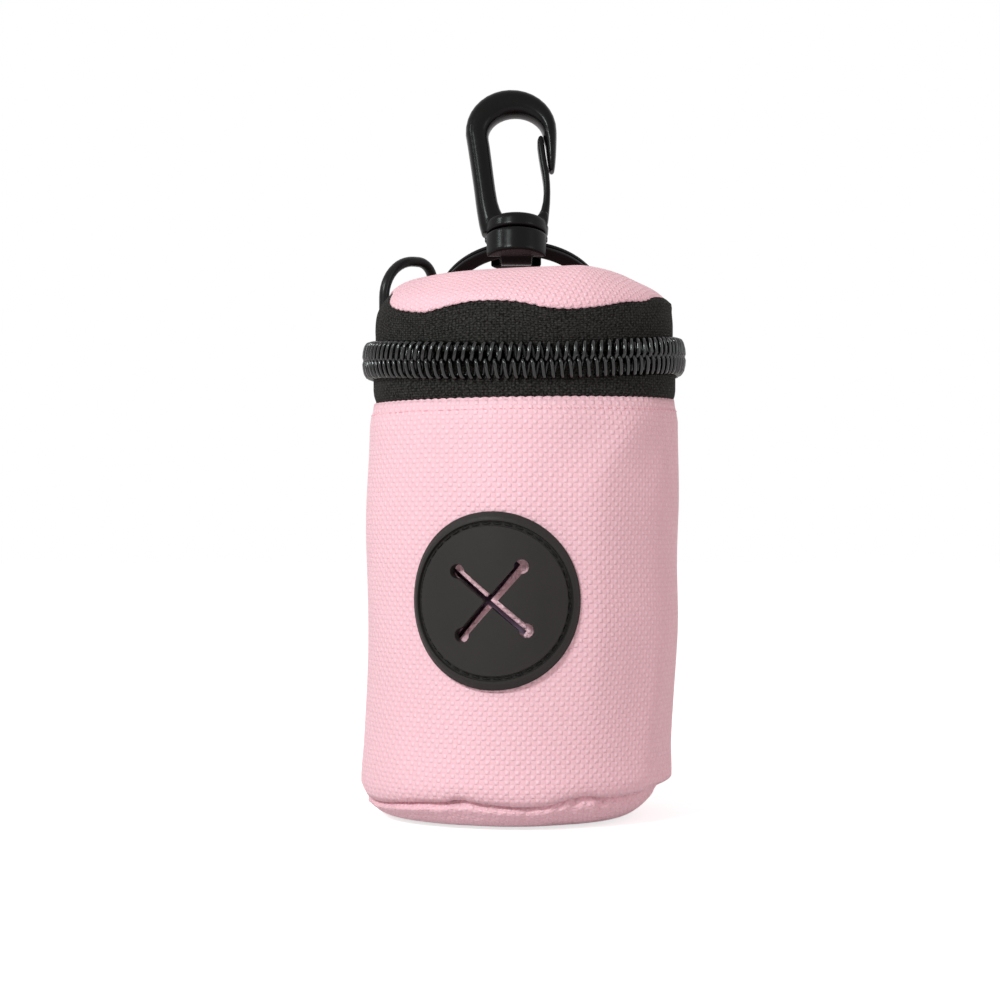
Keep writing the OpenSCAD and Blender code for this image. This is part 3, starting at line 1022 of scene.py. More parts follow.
@dataclass
class BasePanel:
    """The pink cloth under the pouch, sewn to the side's lower edge."""

    side: SidePanel
    columns: int = 300
    rows: int = 44
    crowding: float = 1.6
    reach: float = 28.0
    wall: float = 0.8
    seam_shift: float = -1.35
    floor_shift: float = -1.95
    profile: tuple[Triple, ...] = (
        (0.0, 0.0, 0.02), (0.3, 8.0, 0.02), (0.55, 15.4, 0.0), (0.66, 18.2, 0.04), (0.74, 20.3, 0.13),
        (0.81, 22.0, 0.3), (0.86, 22.95, 0.48), (0.905, 23.5, 0.66), (0.945, 23.7, 0.84), (0.97, 23.6, 1.0),
        (1.0, 23.45, 1.3),
    )
    puckers: tuple[Triple, ...] = ((1.0, 23, 0), (0.7, 37, 50))

    def point(self, angle: float, share: float) -> Vector:
        """Finds a point of the base's face.

        Args:
            angle: Degrees from the front.
            share: 0 at the middle of the floor and 1 at the seam.

        Returns:
            The point.
        """
        turn = wrapped(angle)
        bulge = 0.35 + 0.6 * hump(38, 30, turn) - 1.2 * hump(-84, 34, turn)
        recess = ease(0.6, 0.86, share) * (1 - 1.7 * ease(0.92, 0.99, share))
        radius = through(column(self.profile, 1), share)
        radius += bulge * (hump(0.915, 0.035, share) if bulge > 0 else recess)
        wave = waves(self.puckers, angle) + 0.8 * math.sin(math.radians(angle * 61 + 20) + 9 * share)
        radius += 0.2 * wave * (0.5 + hump(-32, 22, turn)) * hump(0.92, 0.06, share)
        radius -= 0.5 * hump(22 + (share - 0.95) * 60, 2.2, turn) * hump(0.97, 0.05, share)
        height = through(column(self.profile, 2), share) * self.side.seam_height(angle)
        spot = around(radius, angle, max(0.0, height))
        spot.x += self.seam_shift + (self.floor_shift - self.seam_shift) * (1 - ease(0.75, 0.96, share))
        return spot

    def build(self) -> None:
        """Builds the base."""

        def place(across: float, up: float) -> Vector:
            """Finds the sewn place, with the rows crowded towards the seam."""
            return self.point(whole_turn(across), 1 - (1 - up) ** self.crowding)

        def flat(across: float, up: float) -> Point:
            """Finds the place on the flat disc."""
            return around((1 - (1 - up) ** self.crowding) * self.reach, whole_turn(across), 0)[:2]

        bm = sewn_sheet(self.columns, self.rows, place, flat)
        piece = Piece("base_cloth", PINK, "pouch_fabric", Body.POUCH, ("base_panel",), LINING)
        thicken(piece.build(bm), self.wall)


@dataclass
class Patch:
    """The round rubber patch with its cross slot and its stitched circle."""

    side: SidePanel
    radius: float = 13.78
    widen: float = 1.036
    seat: float = 25.35
    thickness: float = 1.5
    dome: float = 0.16
    groove: float = 11.95
    groove_half: float = 0.34
    groove_depth: float = 0.6
    reach: float = 6.95
    slot_half: float = 0.74
    end_radius: float = 1.16
    first_ring: float = 10.2
    rings: Triple = (10.8, 12.7, 13.2)
    sides: int = 120
    rounding: float = 0.14
    stitch_count: int = 44
    stitch: Point = (1.5, 0.36)

    def lay(self, spot: Vector) -> Vector:
        """Wraps a flat point of the patch, with Z out of the rubber, round the pouch."""
        outer = self.seat + self.thickness
        turn = self.side.patch_angle - math.degrees(spot.x * self.widen / outer)
        return around(self.seat + spot.z, turn, self.side.patch_height + spot.y)

    def cross(self) -> list[Triple]:
        """The outline of the cross slot, arm by arm."""
        outline = []
        neck = math.asin(self.slot_half / self.end_radius)
        corner = self.slot_half * math.sqrt(2)
        for arm in range(4):
            heading = math.radians(45 + 90 * arm + self.side.slit_turn)
            cos, sin = math.cos(heading), math.sin(heading)
            for step in range(11):
                swing = -(math.pi - neck) + 2 * (math.pi - neck) * step / 10
                x = self.reach + self.end_radius * math.cos(swing)
                y = self.end_radius * math.sin(swing)
                outline.append((x * cos - y * sin, x * sin + y * cos, 0))
            inner = heading + math.pi / 4
            outline.append((corner * math.cos(inner), corner * math.sin(inner), 0))
        return outline

    def face_height(self, out: float) -> float:
        """Height of the rubber's face at a distance from its middle.

        Args:
            out: The distance.

        Returns:
            The height over the patch's back.
        """
        inside, outside = self.groove - self.groove_half, self.groove + self.groove_half
        if inside - 0.02 < out < outside + 0.02:
            return self.thickness - self.groove_depth
        if out < inside:
            return self.thickness + self.dome * (1 - (out / inside) ** 4)
        return self.thickness - 0.08 - 0.75 * ease(outside + 0.5, self.radius, out)

    def build(self) -> None:
        """Builds the rubber and the stitches in its groove."""
        bm = bmesh.new()
        hole = [bm.verts.new(spot) for spot in self.cross()]
        edges = [bm.edges.new(pair) for pair in zip(hole, hole[1:] + hole[:1])]
        last = ring_of(bm, Matrix.Scale(self.first_ring, 4), self.sides, 2.0)
        bmesh.ops.triangle_fill(bm, edges=edges + last, use_beauty=True)
        inside, outside = self.groove - self.groove_half, self.groove + self.groove_half
        near, *far = self.rings
        steps = (near, inside - 0.1, inside, outside, outside + 0.1, *far, self.radius - 0.2, self.radius)
        for radius in steps:
            section = ring_of(bm, Matrix.Scale(radius, 4), self.sides, 2.0)
            bmesh.ops.bridge_loops(bm, edges=last + section)
            last = section
        for cut in range(-10, 11):
            geom = [*bm.verts, *bm.edges, *bm.faces]
            bmesh.ops.bisect_plane(bm, geom=geom, plane_co=(cut, 0, 0), plane_no=(1, 0, 0))
        bmesh.ops.recalc_face_normals(bm, faces=bm.faces)
        if sum(face.normal.z for face in bm.faces) > 0:
            bmesh.ops.reverse_faces(bm, faces=bm.faces)
        raised = bmesh.ops.extrude_face_region(bm, geom=list(bm.faces), use_keep_orig=True)
        for item in raised["geom"]:
            if isinstance(item, bmesh.types.BMVert):
                item.co.z = self.face_height(item.co.length)
        bmesh.ops.recalc_face_normals(bm, faces=bm.faces)
        for vert in bm.verts:
            vert.co = self.lay(vert.co)
        piece = Piece("slot_rubber", RUBBER, "patch_rubber", Body.POUCH, ("slot_patch",))
        soften(piece.build(bm), self.rounding)
        self.build_stitches()

    def build_stitches(self) -> None:
        """Builds the ring of stitches that lies in the groove."""
        places = []
        rise = self.thickness - self.groove_depth + 0.08
        for count in range(self.stitch_count):
            heading = 2 * math.pi * (count + 0.5) / self.stitch_count
            flat = Vector((self.groove * math.cos(heading), self.groove * math.sin(heading), rise))
            spot = self.lay(flat)
            ahead = Vector((-math.sin(heading), math.cos(heading), 0)) * 0.1
            along = (self.lay(flat + ahead) - spot).normalized()
            out = Vector((spot.x, spot.y, 0)).normalized()
            places.append(basis(along, out.cross(along), out, spot))
        piece = Piece("patch_thread", BLACK_THREAD, "black_thread", Body.POUCH, ("patch_stitching",))
        piece.build(stitches(places, *self.stitch))


@dataclass
class RearSeam:
    """The two rows of stitches up the back of the side panel."""

    side: SidePanel
    rows: Point = (174.0, 186.0)
    count: int = 20
    first: float = 9.0
    last: float = 64.0
    stitch: Point = (2.2, 0.45)

    def build(self) -> None:
        """Builds the stitches."""
        places = []
        for angle in self.rows:
            for step in range(self.count):
                height = self.first + (self.last - self.first) * step / (self.count - 1)
                spot = self.side.point(angle, height) + around(0.08, angle, 0)
                places.append(facing(angle, spot, upright=True))
        nodes = ("rear_seam_stitching",)
        piece = Piece("rear_seam_thread", PINK_THREAD, "pink_thread", Body.POUCH, nodes)
        piece.build(stitches(places, *self.stitch))


@dataclass
class Binding:
    """A strip of woven binding sewn inside a seam."""

    name: str
    node: str
    body: Body
    radius: float
    low: float
    high: float
    shift: float = 0.0
    wall: float = 0.6

    def build(self) -> None:
        """Builds the strip."""

        def place(across: float, up: float) -> Vector:
            """Finds the sewn place, whose upper edge waves a little."""
            angle = whole_turn(across)
            wave = 0.12 * math.sin(math.radians(angle * 9))
            spot = around(self.radius, angle, self.low + (self.high - self.low + wave) * up)
            spot.x += self.shift
            return spot

        bm = sewn_sheet(180, 5, place, strip(2 * math.pi * self.radius, self.high - self.low))
        thicken(Piece(self.name, WEBBING, "binding", self.body, (self.node,)).build(bm), self.wall)


@dataclass
class Lid:
    """The domed pink lid and the upper zip tape under it."""

    wall: float = 0.9
    tape_wall: float = 0.75
    tape_reach: float = 303.0
    tape_foot: float = 74.3
    crowding: float = 1.2
    reach: float = 27.5
    scallop: float = 0.14
    scallop_pitch: float = 1.45
    curve: tuple[Point, ...] = (
        (24.45, 78.0), (24.4, 80.2), (24.2, 81.5), (23.8, 82.5), (23.2, 83.45), (22.45, 84.3), (21.5, 85.2),
        (20.3, 86.2), (18.8, 87.2), (17.1, 88.0), (15.3, 88.5), (13.3, 88.82), (10.0, 89.12), (5.0, 89.38),
        (0.0, 89.45),
    )
    slump: tuple[Point, ...] = (
        (-24, -0.3), (-20.3, -0.5), (-12.1, -0.8), (-3.9, -0.75), (2.6, -0.5), (5.9, -0.25), (9.2, 0.05),
        (12.5, -0.1), (15.7, -0.4), (19.0, -0.75), (24, -0.7),
    )
    seam: tuple[Point, ...] = (
        (-200, 83.0), (-150, 83.0), (-120, 83.6), (-90, 83.8), (-75, 83.6), (-63.6, 83.4), (-52.7, 82.8),
        (-40.7, 82.4), (-29, 81.5), (-19.4, 81.0), (-13.2, 80.9), (-6.5, 81.15), (1.9, 81.9), (10.4, 82.2),
        (20.2, 82.15), (28.4, 81.6), (35, 81.05), (40.2, 80.7), (50.5, 81.15), (60.3, 82.0), (65, 82.9),
        (69, 84.2), (76, 85.0), (90, 85.0), (105, 84.2), (120, 83.6), (150, 83.0), (200, 83.0),
    )

    def __post_init__(self) -> None:
        """Measures the dome's curve from its hem to its crown."""
        lengths = [0.0]
        for before, after in zip(self.curve, self.curve[1:]):
            lengths.append(lengths[-1] + math.dist(before, after))
        self.run = lengths[-1]
        self.radii = [(long, point[0]) for long, point in zip(lengths, self.curve)]
        self.heights = [(long, point[1]) for long, point in zip(lengths, self.curve)]
        self.lengths = [(point[1], long) for long, point in zip(lengths, self.curve)]

    def seam_height(self, angle: float) -> float:
        """Height of the dome's sewn edge at an angle."""
        return through(self.seam, wrapped(angle))

    def dome_point(self, angle: float, share: float) -> Vector:
        """Finds a point of the dome's face.

        Args:
            angle: Degrees from the front.
            share: 0 at the sewn edge and 1 at the top.

        Returns:
            The point.
        """
        beat = abs(math.sin(math.pi * math.radians(angle) * 24 / self.scallop_pitch))
        start = through(self.lengths, self.seam_height(angle) - self.scallop * beat)
        long = start + (self.run - start) * share
        puff = 0.32 * ease(-0.01, 0.02, share) * (1 - ease(0.05, 0.35, share))
        spot = around(through(self.radii, long) + puff, angle, through(self.heights, long))
        spot.z += through(self.slump, spot.x) * ease(0.02, 0.3, share)
        return spot

    def tape_point(self, across: float, up: float) -> Vector:
        """Finds a point of the upper tape's face.

        Args:
            across: Share of the way round.
            up: Share of the way up.

        Returns:
            The point.
        """
        angle = self.tape_reach * (0.5 - across)
        height = self.tape_foot + (self.seam_height(angle) + 0.8 - self.tape_foot) * up
        radius = 24.4 if height < 78 else through(self.radii, through(self.lengths, height))
        ripple = 0.09 * math.sin(math.radians(angle * 11)) * ease(0.3, 0.9, up) * (1 - ease(0.9, 1.0, up))
        inset = 0.1 + 0.2 * ease(0.86, 0.98, up)
        inset -= 0.85 * hump(-88, 40, wrapped(angle)) * hump(83.5, 1.2, height)
        return around(radius - inset + ripple, angle, height)

    def build(self) -> None:
        """Builds the dome and the upper tape."""

        def place(across: float, up: float) -> Vector:
            """Finds the sewn place, with the rows crowded towards the edge."""
            return self.dome_point(whole_turn(across), up**self.crowding)

        def flat(across: float, up: float) -> Point:
            """Finds the place on the flat disc, which is turned so that its yarns run aslant."""
            spot = around((1 - up**self.crowding) * self.reach, whole_turn(across), 0)
            return (spot.x * 0.9 + spot.y * 0.44, spot.y * 0.9 - spot.x * 0.44)

        bm = sewn_sheet(624, 40, place, flat)
        piece = Piece("dome_cloth", PINK, "pouch_fabric", Body.LID, ("lid_panel",), LINING)
        thicken(piece.build(bm), self.wall)
        bm = sewn_sheet(300, 16, self.tape_point, strip(math.radians(self.tape_reach) * 24.2, 9))
        piece = Piece("upper_tape", TAPE, "zip_tape", Body.LID, ("upper_zip_tape",))
        thicken(piece.build(bm), self.tape_wall)


@dataclass
class LowerTape:
    """The lower zip tape, which peels off with the lid near the slider."""

    reach: float = 303.0
    low: float = 62.0
    high: float = 72.7
    radius: float = 23.98
    wall: float = 0.8

    def place(self, across: float, up: float) -> Vector:
        """Finds a point of the tape's face.

        Args:
            across: Share of the way round.
            up: Share of the way up.

        Returns:
            The point.
        """
        angle = self.reach * (0.5 - across)
        ripple = 0.05 * math.sin(math.radians(angle * 13)) * (1 - up)
        height = self.low + (self.high - self.low) * up
        spot = around(self.radius + 0.72 * ease(66.0, 69.0, height) + ripple, angle, height)
        spot.x += 0.15 * hump(0, 100, angle)
        return spot

    def build(self) -> None:
        """Builds the tape."""
        flat = strip(math.radians(self.reach) * self.radius, self.high - self.low)
        bm = sewn_sheet(300, 12, self.place, flat)
        piece = Piece("lower_tape", TAPE, "zip_tape", None, ("lower_zip_tape", "lower_tape_ends"))
        peel(thicken(piece.build(bm), self.wall))


def peel(shown: Shown) -> Shown:
    """Applies a piece's placement to its mesh, leaving the object at the origin."""
    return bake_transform(shown)


@dataclass
class CoilRow:
    """One row of the nylon coil, a flattened spiral sewn along its tape."""

    name: str
    nodes: tuple[str, ...]
    upper: bool
    start: float = -146.0
    end: float = 142.3
    middle: float = 73.5
    radius: float = 25.36
    pitch: float = 1.42
    steps: int = 12
    filament: float = 0.35
    tall: float = 1.38
    deep: float = 0.7
    offset: float = 1.34
    slope: float = 0.22
    course: tuple[Point, ...] = (
        (-180, 0.0), (-122, 0.0), (-108, 0.6), (-88, 1.1), (-65, 0.85), (-40, 0.15), (-15, -0.55), (10, -0.7),
        (35, -0.45), (60, 0.1), (85, 0.5), (102, 0.4), (120, 0.0), (180, 0.0),
    )

    def points(self) -> list[Vector]:
        """The middle line of the filament."""
        turns = round(math.radians(self.end - self.start) * self.radius / self.pitch)
        way, lag = (1, 0.0) if self.upper else (-1, 0.5)
        line = []
        for count in range(turns * self.steps + 1):
            phase = 2 * math.pi * count / self.steps
            angle = self.start + (self.end - self.start) * (count / self.steps + lag) / turns
            rise = math.copysign(abs(math.cos(phase)) ** 0.8, math.cos(phase))
            out = math.copysign(abs(math.sin(phase)) ** 0.6, math.sin(phase))
            sag = through(self.course, wrapped(angle)) * (1 - ease(112, 124, abs(angle)))
            height = self.middle + way * (self.offset + rise * self.tall) + sag
            line.append(around(self.radius + out * self.deep - rise * self.slope, angle, height))
        return line

    def build(self) -> None:
        """Builds the row."""
        body = Body.LID if self.upper else None
        piece = Piece(self.name, COIL, "zip_coil", body, self.nodes, smooth_to=80)
        row = piece.build(wire(self.points(), self.filament, 1))
        if not self.upper:
            peel(row)


@dataclass
class RearPanel:
    """The black strip behind, which hinges the lid."""

    low: float = 62.0
    high: float = 82.9
    radius: float = 24.2
    start: float = 208.0
    reach: float = 56.0
    wall: float = 0.8

    def place(self, across: float, up: float) -> Vector:
        """Finds a point of the strip's face."""
        angle = self.start - self.reach * across
        return around(self.radius, angle, self.low + (self.high - self.low) * up)

    def build(self) -> None:
        """Builds the strip."""
        flat = strip(math.radians(self.reach) * self.radius, self.high - self.low)
        bm = sewn_sheet(48, 40, self.place, flat)
        piece = Piece("hinge_strip", TAPE, "zip_tape", None, ("rear_panel_upper", "rear_panel_lower"))
        strap = thicken(piece.build(bm), self.wall)
        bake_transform(strap)


@dataclass
class ZipStops:
    """The crimped stops at both ends of the zip."""

    angle: float = 149.8
    radius: float = 25.1
    heights: Point = (71.85, 75.5)
    size: Triple = (1.8, 0.95, 1.7)

    def build(self) -> None:
        """Builds the four clips."""
        bm = bmesh.new()
        for side in (-1, 1):
            for height in self.heights:
                heading = math.radians(-90 - side * self.angle)
                spot = around(self.radius, side * self.angle, height)
                frame = Matrix.Translation(spot) @ Matrix.Rotation(heading, 4, "Z")
                block(bm, frame, self.size, 0.22)
        Piece("stop_clips", ZINC, "zip_metal", Body.LID, ("zip_stops",)).build(bm)


@dataclass
class Slider:
    """The zip's slider and the wire loop that pulls it."""

    angle: float = 138.0
    middle: float = 73.5
    chain_radius: float = 27.0
    crown: float = 28.75
    rounding: float = 0.18
    flange_rise: float = 3.52
    wire: float = 0.88
    left: float = 6.05
    right: float = 4.8
    foot: float = 2.0
    left_bend: float = 6.6
    right_bend: float = 3.2
    top: float = 92.5

    def wrap(self, radius: float, along: float, height: float) -> Vector:
        """Finds a point by its radius, its distance along the chain and its height over the middle.

        Args:
            radius: Distance from the pouch's axis.
            along: Distance along the chain.
            height: Height over the chain's middle.

        Returns:
            The point.
        """
        return around(radius, self.angle - math.degrees(along / self.chain_radius), self.middle + height)

    def plate(self, inner: float, outer: float, half_length: float, half_height: float) -> Mesh:
        """Makes one of the slider's two curved plates, wider at its open end.

        Args:
            inner: Radius of its inner face.
            outer: Radius of its outer face.
            half_length: Half its length along the chain.
            half_height: Half its height.

        Returns:
            The mesh in millimetres.
        """

        def place(along: float, up: float, out: float) -> Vector:
            """Moves a point of the box into the curved plate."""
            waist = 1 - 0.16 * ease(-1, 1, along) - 0.1 * hump(0, 0.45, along)
            corner = 1 - 0.12 * abs(up) ** 3
            radius = inner + (outer - inner) * (out + 1) / 2
            return self.wrap(radius, along * half_length * corner, up * half_height * waist)

        return slab(7, place)

    def flange(self, side: int) -> Mesh:
        """Makes the wall along one edge of the slider."""

        def place(along: float, up: float, out: float) -> Vector:
            """Moves a point of the box into the curved wall."""
            return self.wrap(25.8 + out * 1.25, along * 4.4, side * self.flange_rise + up * 0.36)

        return slab(5, place)

    def build(self) -> None:
        """Builds the slider's plates, flanges, post and crown, and its loop."""
        turn = math.radians(-90 - self.angle)
        frame = Matrix.Translation((0, 0, self.middle)) @ Matrix.Rotation(turn, 4, "Z")
        crown = block(bmesh.new(), frame @ Matrix.Translation((28.0, 0, 0)), (1.9, 3.0, 3.5), 0.4, 3)
        block(crown, frame @ Matrix.Translation((24.9, -3.1, 0)), (4.4, 1.0, 1.05), 0.4, 3)
        plates = [self.plate(26.65, 27.55, 4.5, 3.9), self.plate(22.5, 23.2, 4.3, 3.4)]
        bm = joined([*plates, self.flange(-1), self.flange(1), crown])
        piece = Piece("slider_casting", ZINC, "zip_metal", Body.SLIDER, ("slider_body",))
        soften(piece.build(bm), self.rounding)
        piece = Piece("pull_wire", LOOP_COAT, "loop_metal", Body.PULLER, ("pull_loop",), smooth_to=80)
        piece.build(wire(self.loop_points(), self.wire, 5, closed=True))

    def loop_points(self) -> list[Vector]:
        """The middle line of the pull loop, in its own upright plane."""
        corners = (
            (self.left - self.foot, self.middle + self.foot, self.foot, -90),
            (self.left - self.left_bend, self.top - self.left_bend, self.left_bend, 0),
            (self.right_bend - self.right, self.top - self.right_bend, self.right_bend, 90),
            (self.foot - self.right, self.middle + self.foot, self.foot, 180),
        )
        out = around(1, self.angle, 0)
        left = UP.cross(out)
        line = []
        for across, height, radius, start in corners:
            for step in range(13):
                swing = math.radians(start + 90 * step / 12)
                beside = left * (across + radius * math.cos(swing))
                line.append(out * self.crown + beside + UP * (height + radius * math.sin(swing)))
        return line


@dataclass
class Hanger:
    """The folded webbing that holds the split ring."""

    x: float = -0.8
    width: float = 8.0
    length: float = 30.0
    wall: float = 1.0
    foot: float = 70.2
    back: float = 26.5
    rounding: float = 0.2
    stitch: Point = (2.0, 0.45)
    stitch_rows: Point = (0.9, 2.4)
    stitch_steps: Triple = (-2.5, 0.0, 2.5)
    knots: tuple[Triple, ...] = (
        (0.0, 26.5, 70.2), (0.13, 26.5, 72.0), (0.21, 27.1, 73.3), (0.29, 29.2, 73.6), (0.37, 31.6, 73.35),
        (0.45, 33.9, 74.7), (0.53, 34.3, 77.3), (0.6, 32.6, 79.7), (0.67, 29.9, 79.9), (0.75, 27.2, 78.6),
        (0.83, 25.0, 76.6), (0.9, 24.42, 74.6), (1.0, 24.42, 70.2),
    )

    def place(self, across: float, up: float) -> Vector:
        """Finds a point of the strap's outer face."""
        y, z = [through(column(self.knots, which), up) for which in (1, 2)]
        return Vector((self.x + self.width * (0.5 - across), y, z))

    def build(self) -> None:
        """Builds the strap and its stitches."""
        bm = sewn_sheet(12, 72, self.place, strip(self.width, self.length))
        piece = Piece("hanger_webbing", WEBBING, "webbing", Body.LID, ("hanger_loop",))
        soften(thicken(piece.build(bm), self.wall), self.rounding)
        places = []
        for row in self.stitch_rows:
            for step in self.stitch_steps:
                spot = Vector((self.x + step, self.back + 0.05, self.foot + row))
                places.append(facing(180, spot))
        piece = Piece("hanger_thread", BLACK_THREAD, "black_thread", Body.LID, ("hanger_stitching",))
        piece.build(stitches(places, *self.stitch))


@dataclass
class SplitRing:
    """The split ring, two flat turns of wire side by side."""

    centre: Triple = (-0.35, 21.0, 85.2)
    radius: float = 13.15
    half_width: float = 1.2
    half_turn: float = 0.42
    gap: float = 0.04
    tilt: float = 40.0
    cut_angle: float = 75.0
    ramp: float = 34.0
    steps: int = 240

    def build(self) -> None:
        """Builds the ring."""
        frames = []
        tilt = Matrix.Translation(self.centre) @ Matrix.Rotation(math.radians(-self.tilt), 4, "X")
        for step in range(self.steps + 1):
            turn = 720 * step / self.steps
            side = -1 + 2 * ease(360 - self.ramp / 2, 360 + self.ramp / 2, turn)
            heading = math.radians(turn + self.cut_angle)
            out = Vector((math.cos(heading), math.sin(heading), 0))
            centre = out * self.radius + UP * side * (self.half_turn + self.gap)
            frames.append(tilt @ section_frame(centre, out * self.half_width, UP * self.half_turn))
        piece = Piece("ring_wire", RING_COAT, "ring_metal", Body.RING, ("split_ring",))
        piece.build(swept(frames, 16, 3.4))


@dataclass
class SnapHook:
    """The swivel eye, the hook above it and its gate.

    The tables give outer X and Z, inner X and Z and the share of the full depth of each section.
    """

    foot: Triple = (-1.2, 11.003, 93.588)
    lean: float = 16.0
    depth: float = 4.6
    gate_depth: float = 3.0
    pin: Triple = (4.2, 0.0, 4.7)
    pin_radius: float = 0.5
    slot_half: float = 1.62
    barrel: float = 5.35
    lug: float = 2.8
    bore: float = 1.55
    cell: float = 0.17
    root: tuple[tuple[float, ...], ...] = (
        (-5.75, 2.45, -1.0, 2.6, 1), (-6.0, 3.2, -1.2, 3.6, 1), (-6.25, 4.2, -1.5, 4.5, 1),
        (-6.45, 5.4, -2.1, 5.6, 1), (-6.65, 6.7, -2.7, 6.9, 1), (-6.85, 8.2, -3.1, 8.3, 1),
        (-7.08, 10.2, -3.42, 10.2, 1), (-7.45, 13.0, -3.78, 13.0, 1), (-7.87, 16.0, -4.12, 15.9, 1),
        (-8.25, 18.6, -4.42, 18.3, 1),
    )
    nose: tuple[tuple[float, ...], ...] = (
        (6.95, 20.2, 4.86, 19.5, 0.97), (6.9, 18.6, 5.06, 18.4, 0.93), (6.82, 17.0, 5.2, 16.9, 0.86),
        (6.72, 15.6, 5.36, 15.6, 0.78), (6.6, 14.6, 5.5, 14.6, 0.68), (6.45, 13.95, 5.65, 13.95, 0.5),
    )
    post: tuple[tuple[float, ...], ...] = (
        (5.35, 2.5, 0.6, 2.7, 1), (5.45, 3.6, 1.8, 3.9, 1), (5.52, 4.5, 2.7, 4.7, 1),
        (5.55, 5.2, 3.35, 5.35, 0.98), (5.5, 5.7, 3.8, 5.85, 0.94), (5.3, 6.05, 4.2, 6.15, 0.85),
    )
    gate: tuple[tuple[float, ...], ...] = (
        (5.1, 3.75, 3.4, 3.9, 0.9), (5.35, 4.4, 3.1, 4.8, 1), (5.5, 5.4, 3.6, 5.7, 1),
        (5.62, 6.6, 4.15, 6.7, 1), (5.76, 8.2, 4.5, 8.2, 1), (5.82, 10.0, 4.66, 10.0, 1),
        (5.78, 11.6, 4.6, 11.6, 1), (5.66, 13.4, 4.36, 13.4, 1), (5.3, 15.2, 4.06, 15.2, 1),
        (5.05, 17.0, 3.8, 17.0, 1), (4.88, 18.5, 3.62, 18.5, 1), (4.76, 19.4, 3.62, 19.5, 1),
        (4.64, 20.0, 3.8, 20.05, 0.9), (4.45, 20.35, 4.05, 20.35, 0.6),
    )

    def finish(self, bm: Mesh, name: str, body: Body, node: str) -> Shown:
        """Moves a mesh from the hook's own frame, where the swivel axis is Z, and builds its piece.

        Args:
            bm: The mesh, which is freed.
            name: The piece's name.
            body: The body it rides on.
            node: The model node it stands for.

        Returns:
            The piece.
        """
        frame = Matrix.Translation(self.foot) @ Matrix.Rotation(math.radians(-self.lean), 4, "X")
        bmesh.ops.transform(bm, matrix=frame, verts=bm.verts)
        look, slot = (STEEL, "pin_steel") if node == "gate_pin" else (PLASTIC, "hook_plastic")
        return Piece(name, look, slot, body, (node,)).build(bm)

    def bar(self, rows: Sequence[Sequence[float]], depth: float, square: float) -> Mesh:
        """Makes a bar from its outer and inner edge points and its depth at each.

        Args:
            rows: Its sections, as in the tables.
            depth: The full depth.
            square: How square a section is, from 2 for round.

        Returns:
            The mesh in millimetres.
        """
        frames = []
        for outer_x, outer_z, inner_x, inner_z, share in rows:
            first, second = Vector((outer_x, 0, outer_z)), Vector((inner_x, 0, inner_z))
            half = Vector((0, depth * share / 2, 0))
            frames.append(section_frame((first + second) / 2, (first - second) / 2, half))
        return swept(frames, 24, square)

    def arm(self) -> list[tuple[float, ...]]:
        """The arm's sections from its root, over the arch, to the nose."""
        arch = []
        for step in range(19):
            swing = math.radians(184 - 184 * step / 18)
            x, z = math.cos(swing), math.sin(swing)
            arch.append((-0.83 + 7.78 * x, 21.3 + 7.62 * z, -0.04 + 4.65 * x, 20.25 + 3.95 * z, 1))
        return [*self.root, *arch, *self.nose]

    def build_hook(self) -> None:
        """Builds the arm, its round base and its post as one moulding with a slot for the gate."""
        rim = self.barrel
        base = (
            (0.0, 2.3), (rim - 0.3, 2.3), (rim, 2.55), (rim, 3.9), (rim - 0.12, 4.4), (rim - 0.5, 4.75),
            (3.0, 4.9), (0.0, 4.9),
        )
        arm, post = self.bar(self.arm(), self.depth, 2.6), self.bar(self.post, self.depth, 3.0)
        slot = block(bmesh.new(), Matrix.Translation((5.2, 0, 6.1)), (4.4, 2 * self.slot_half, 5.0))
        bm = carved(moulded(joined([arm, turned(base, 64, False), post]), self.cell, 4), slot)
        self.finish(bm, "hook_moulding", Body.HOOK, "hook_body")

    def build_eye(self) -> None:
        """Builds the swivel eye: a barrel with a lug below, bored and notched for the ring."""
        rim = self.barrel
        outline = ((0.0, -2.05), (rim - 0.25, -2.05), (rim, -1.8), (rim, 1.85), (rim - 0.25, 2.1), (0.0, 2.1))
        level = Matrix.Rotation(math.pi / 2, 4, "Y")
        bm = moulded(joined([turned(outline, 64, False), rod(level, self.lug, 5.2, 48)]), self.cell, 1)
        bm = carved(bm, rod(level, self.bore, 14.0, 48))
        for side in (-1, 1):
            notch = block(bmesh.new(), Matrix.Translation((side * 5.6, 0.7, -1.5)), (6.0, 4.8, 6.0))
            bm = carved(bm, notch)
        self.finish(moulded(bm, self.cell, 3), "eye_moulding", Body.EYE, "swivel_eye")

    def build(self) -> None:
        """Builds the hook, its gate, the gate's pin and the eye."""
        self.build_hook()
        self.finish(self.bar(self.gate, self.gate_depth, 3.4), "gate_moulding", Body.GATE, "hook_gate")
        across = Matrix.Translation(self.pin) @ Matrix.Rotation(math.pi / 2, 4, "X")
        soften(self.finish(rod(across, self.pin_radius, 4.4, 24), "pin_rod", Body.HOOK, "gate_pin"), 0.08)
        self.build_eye()


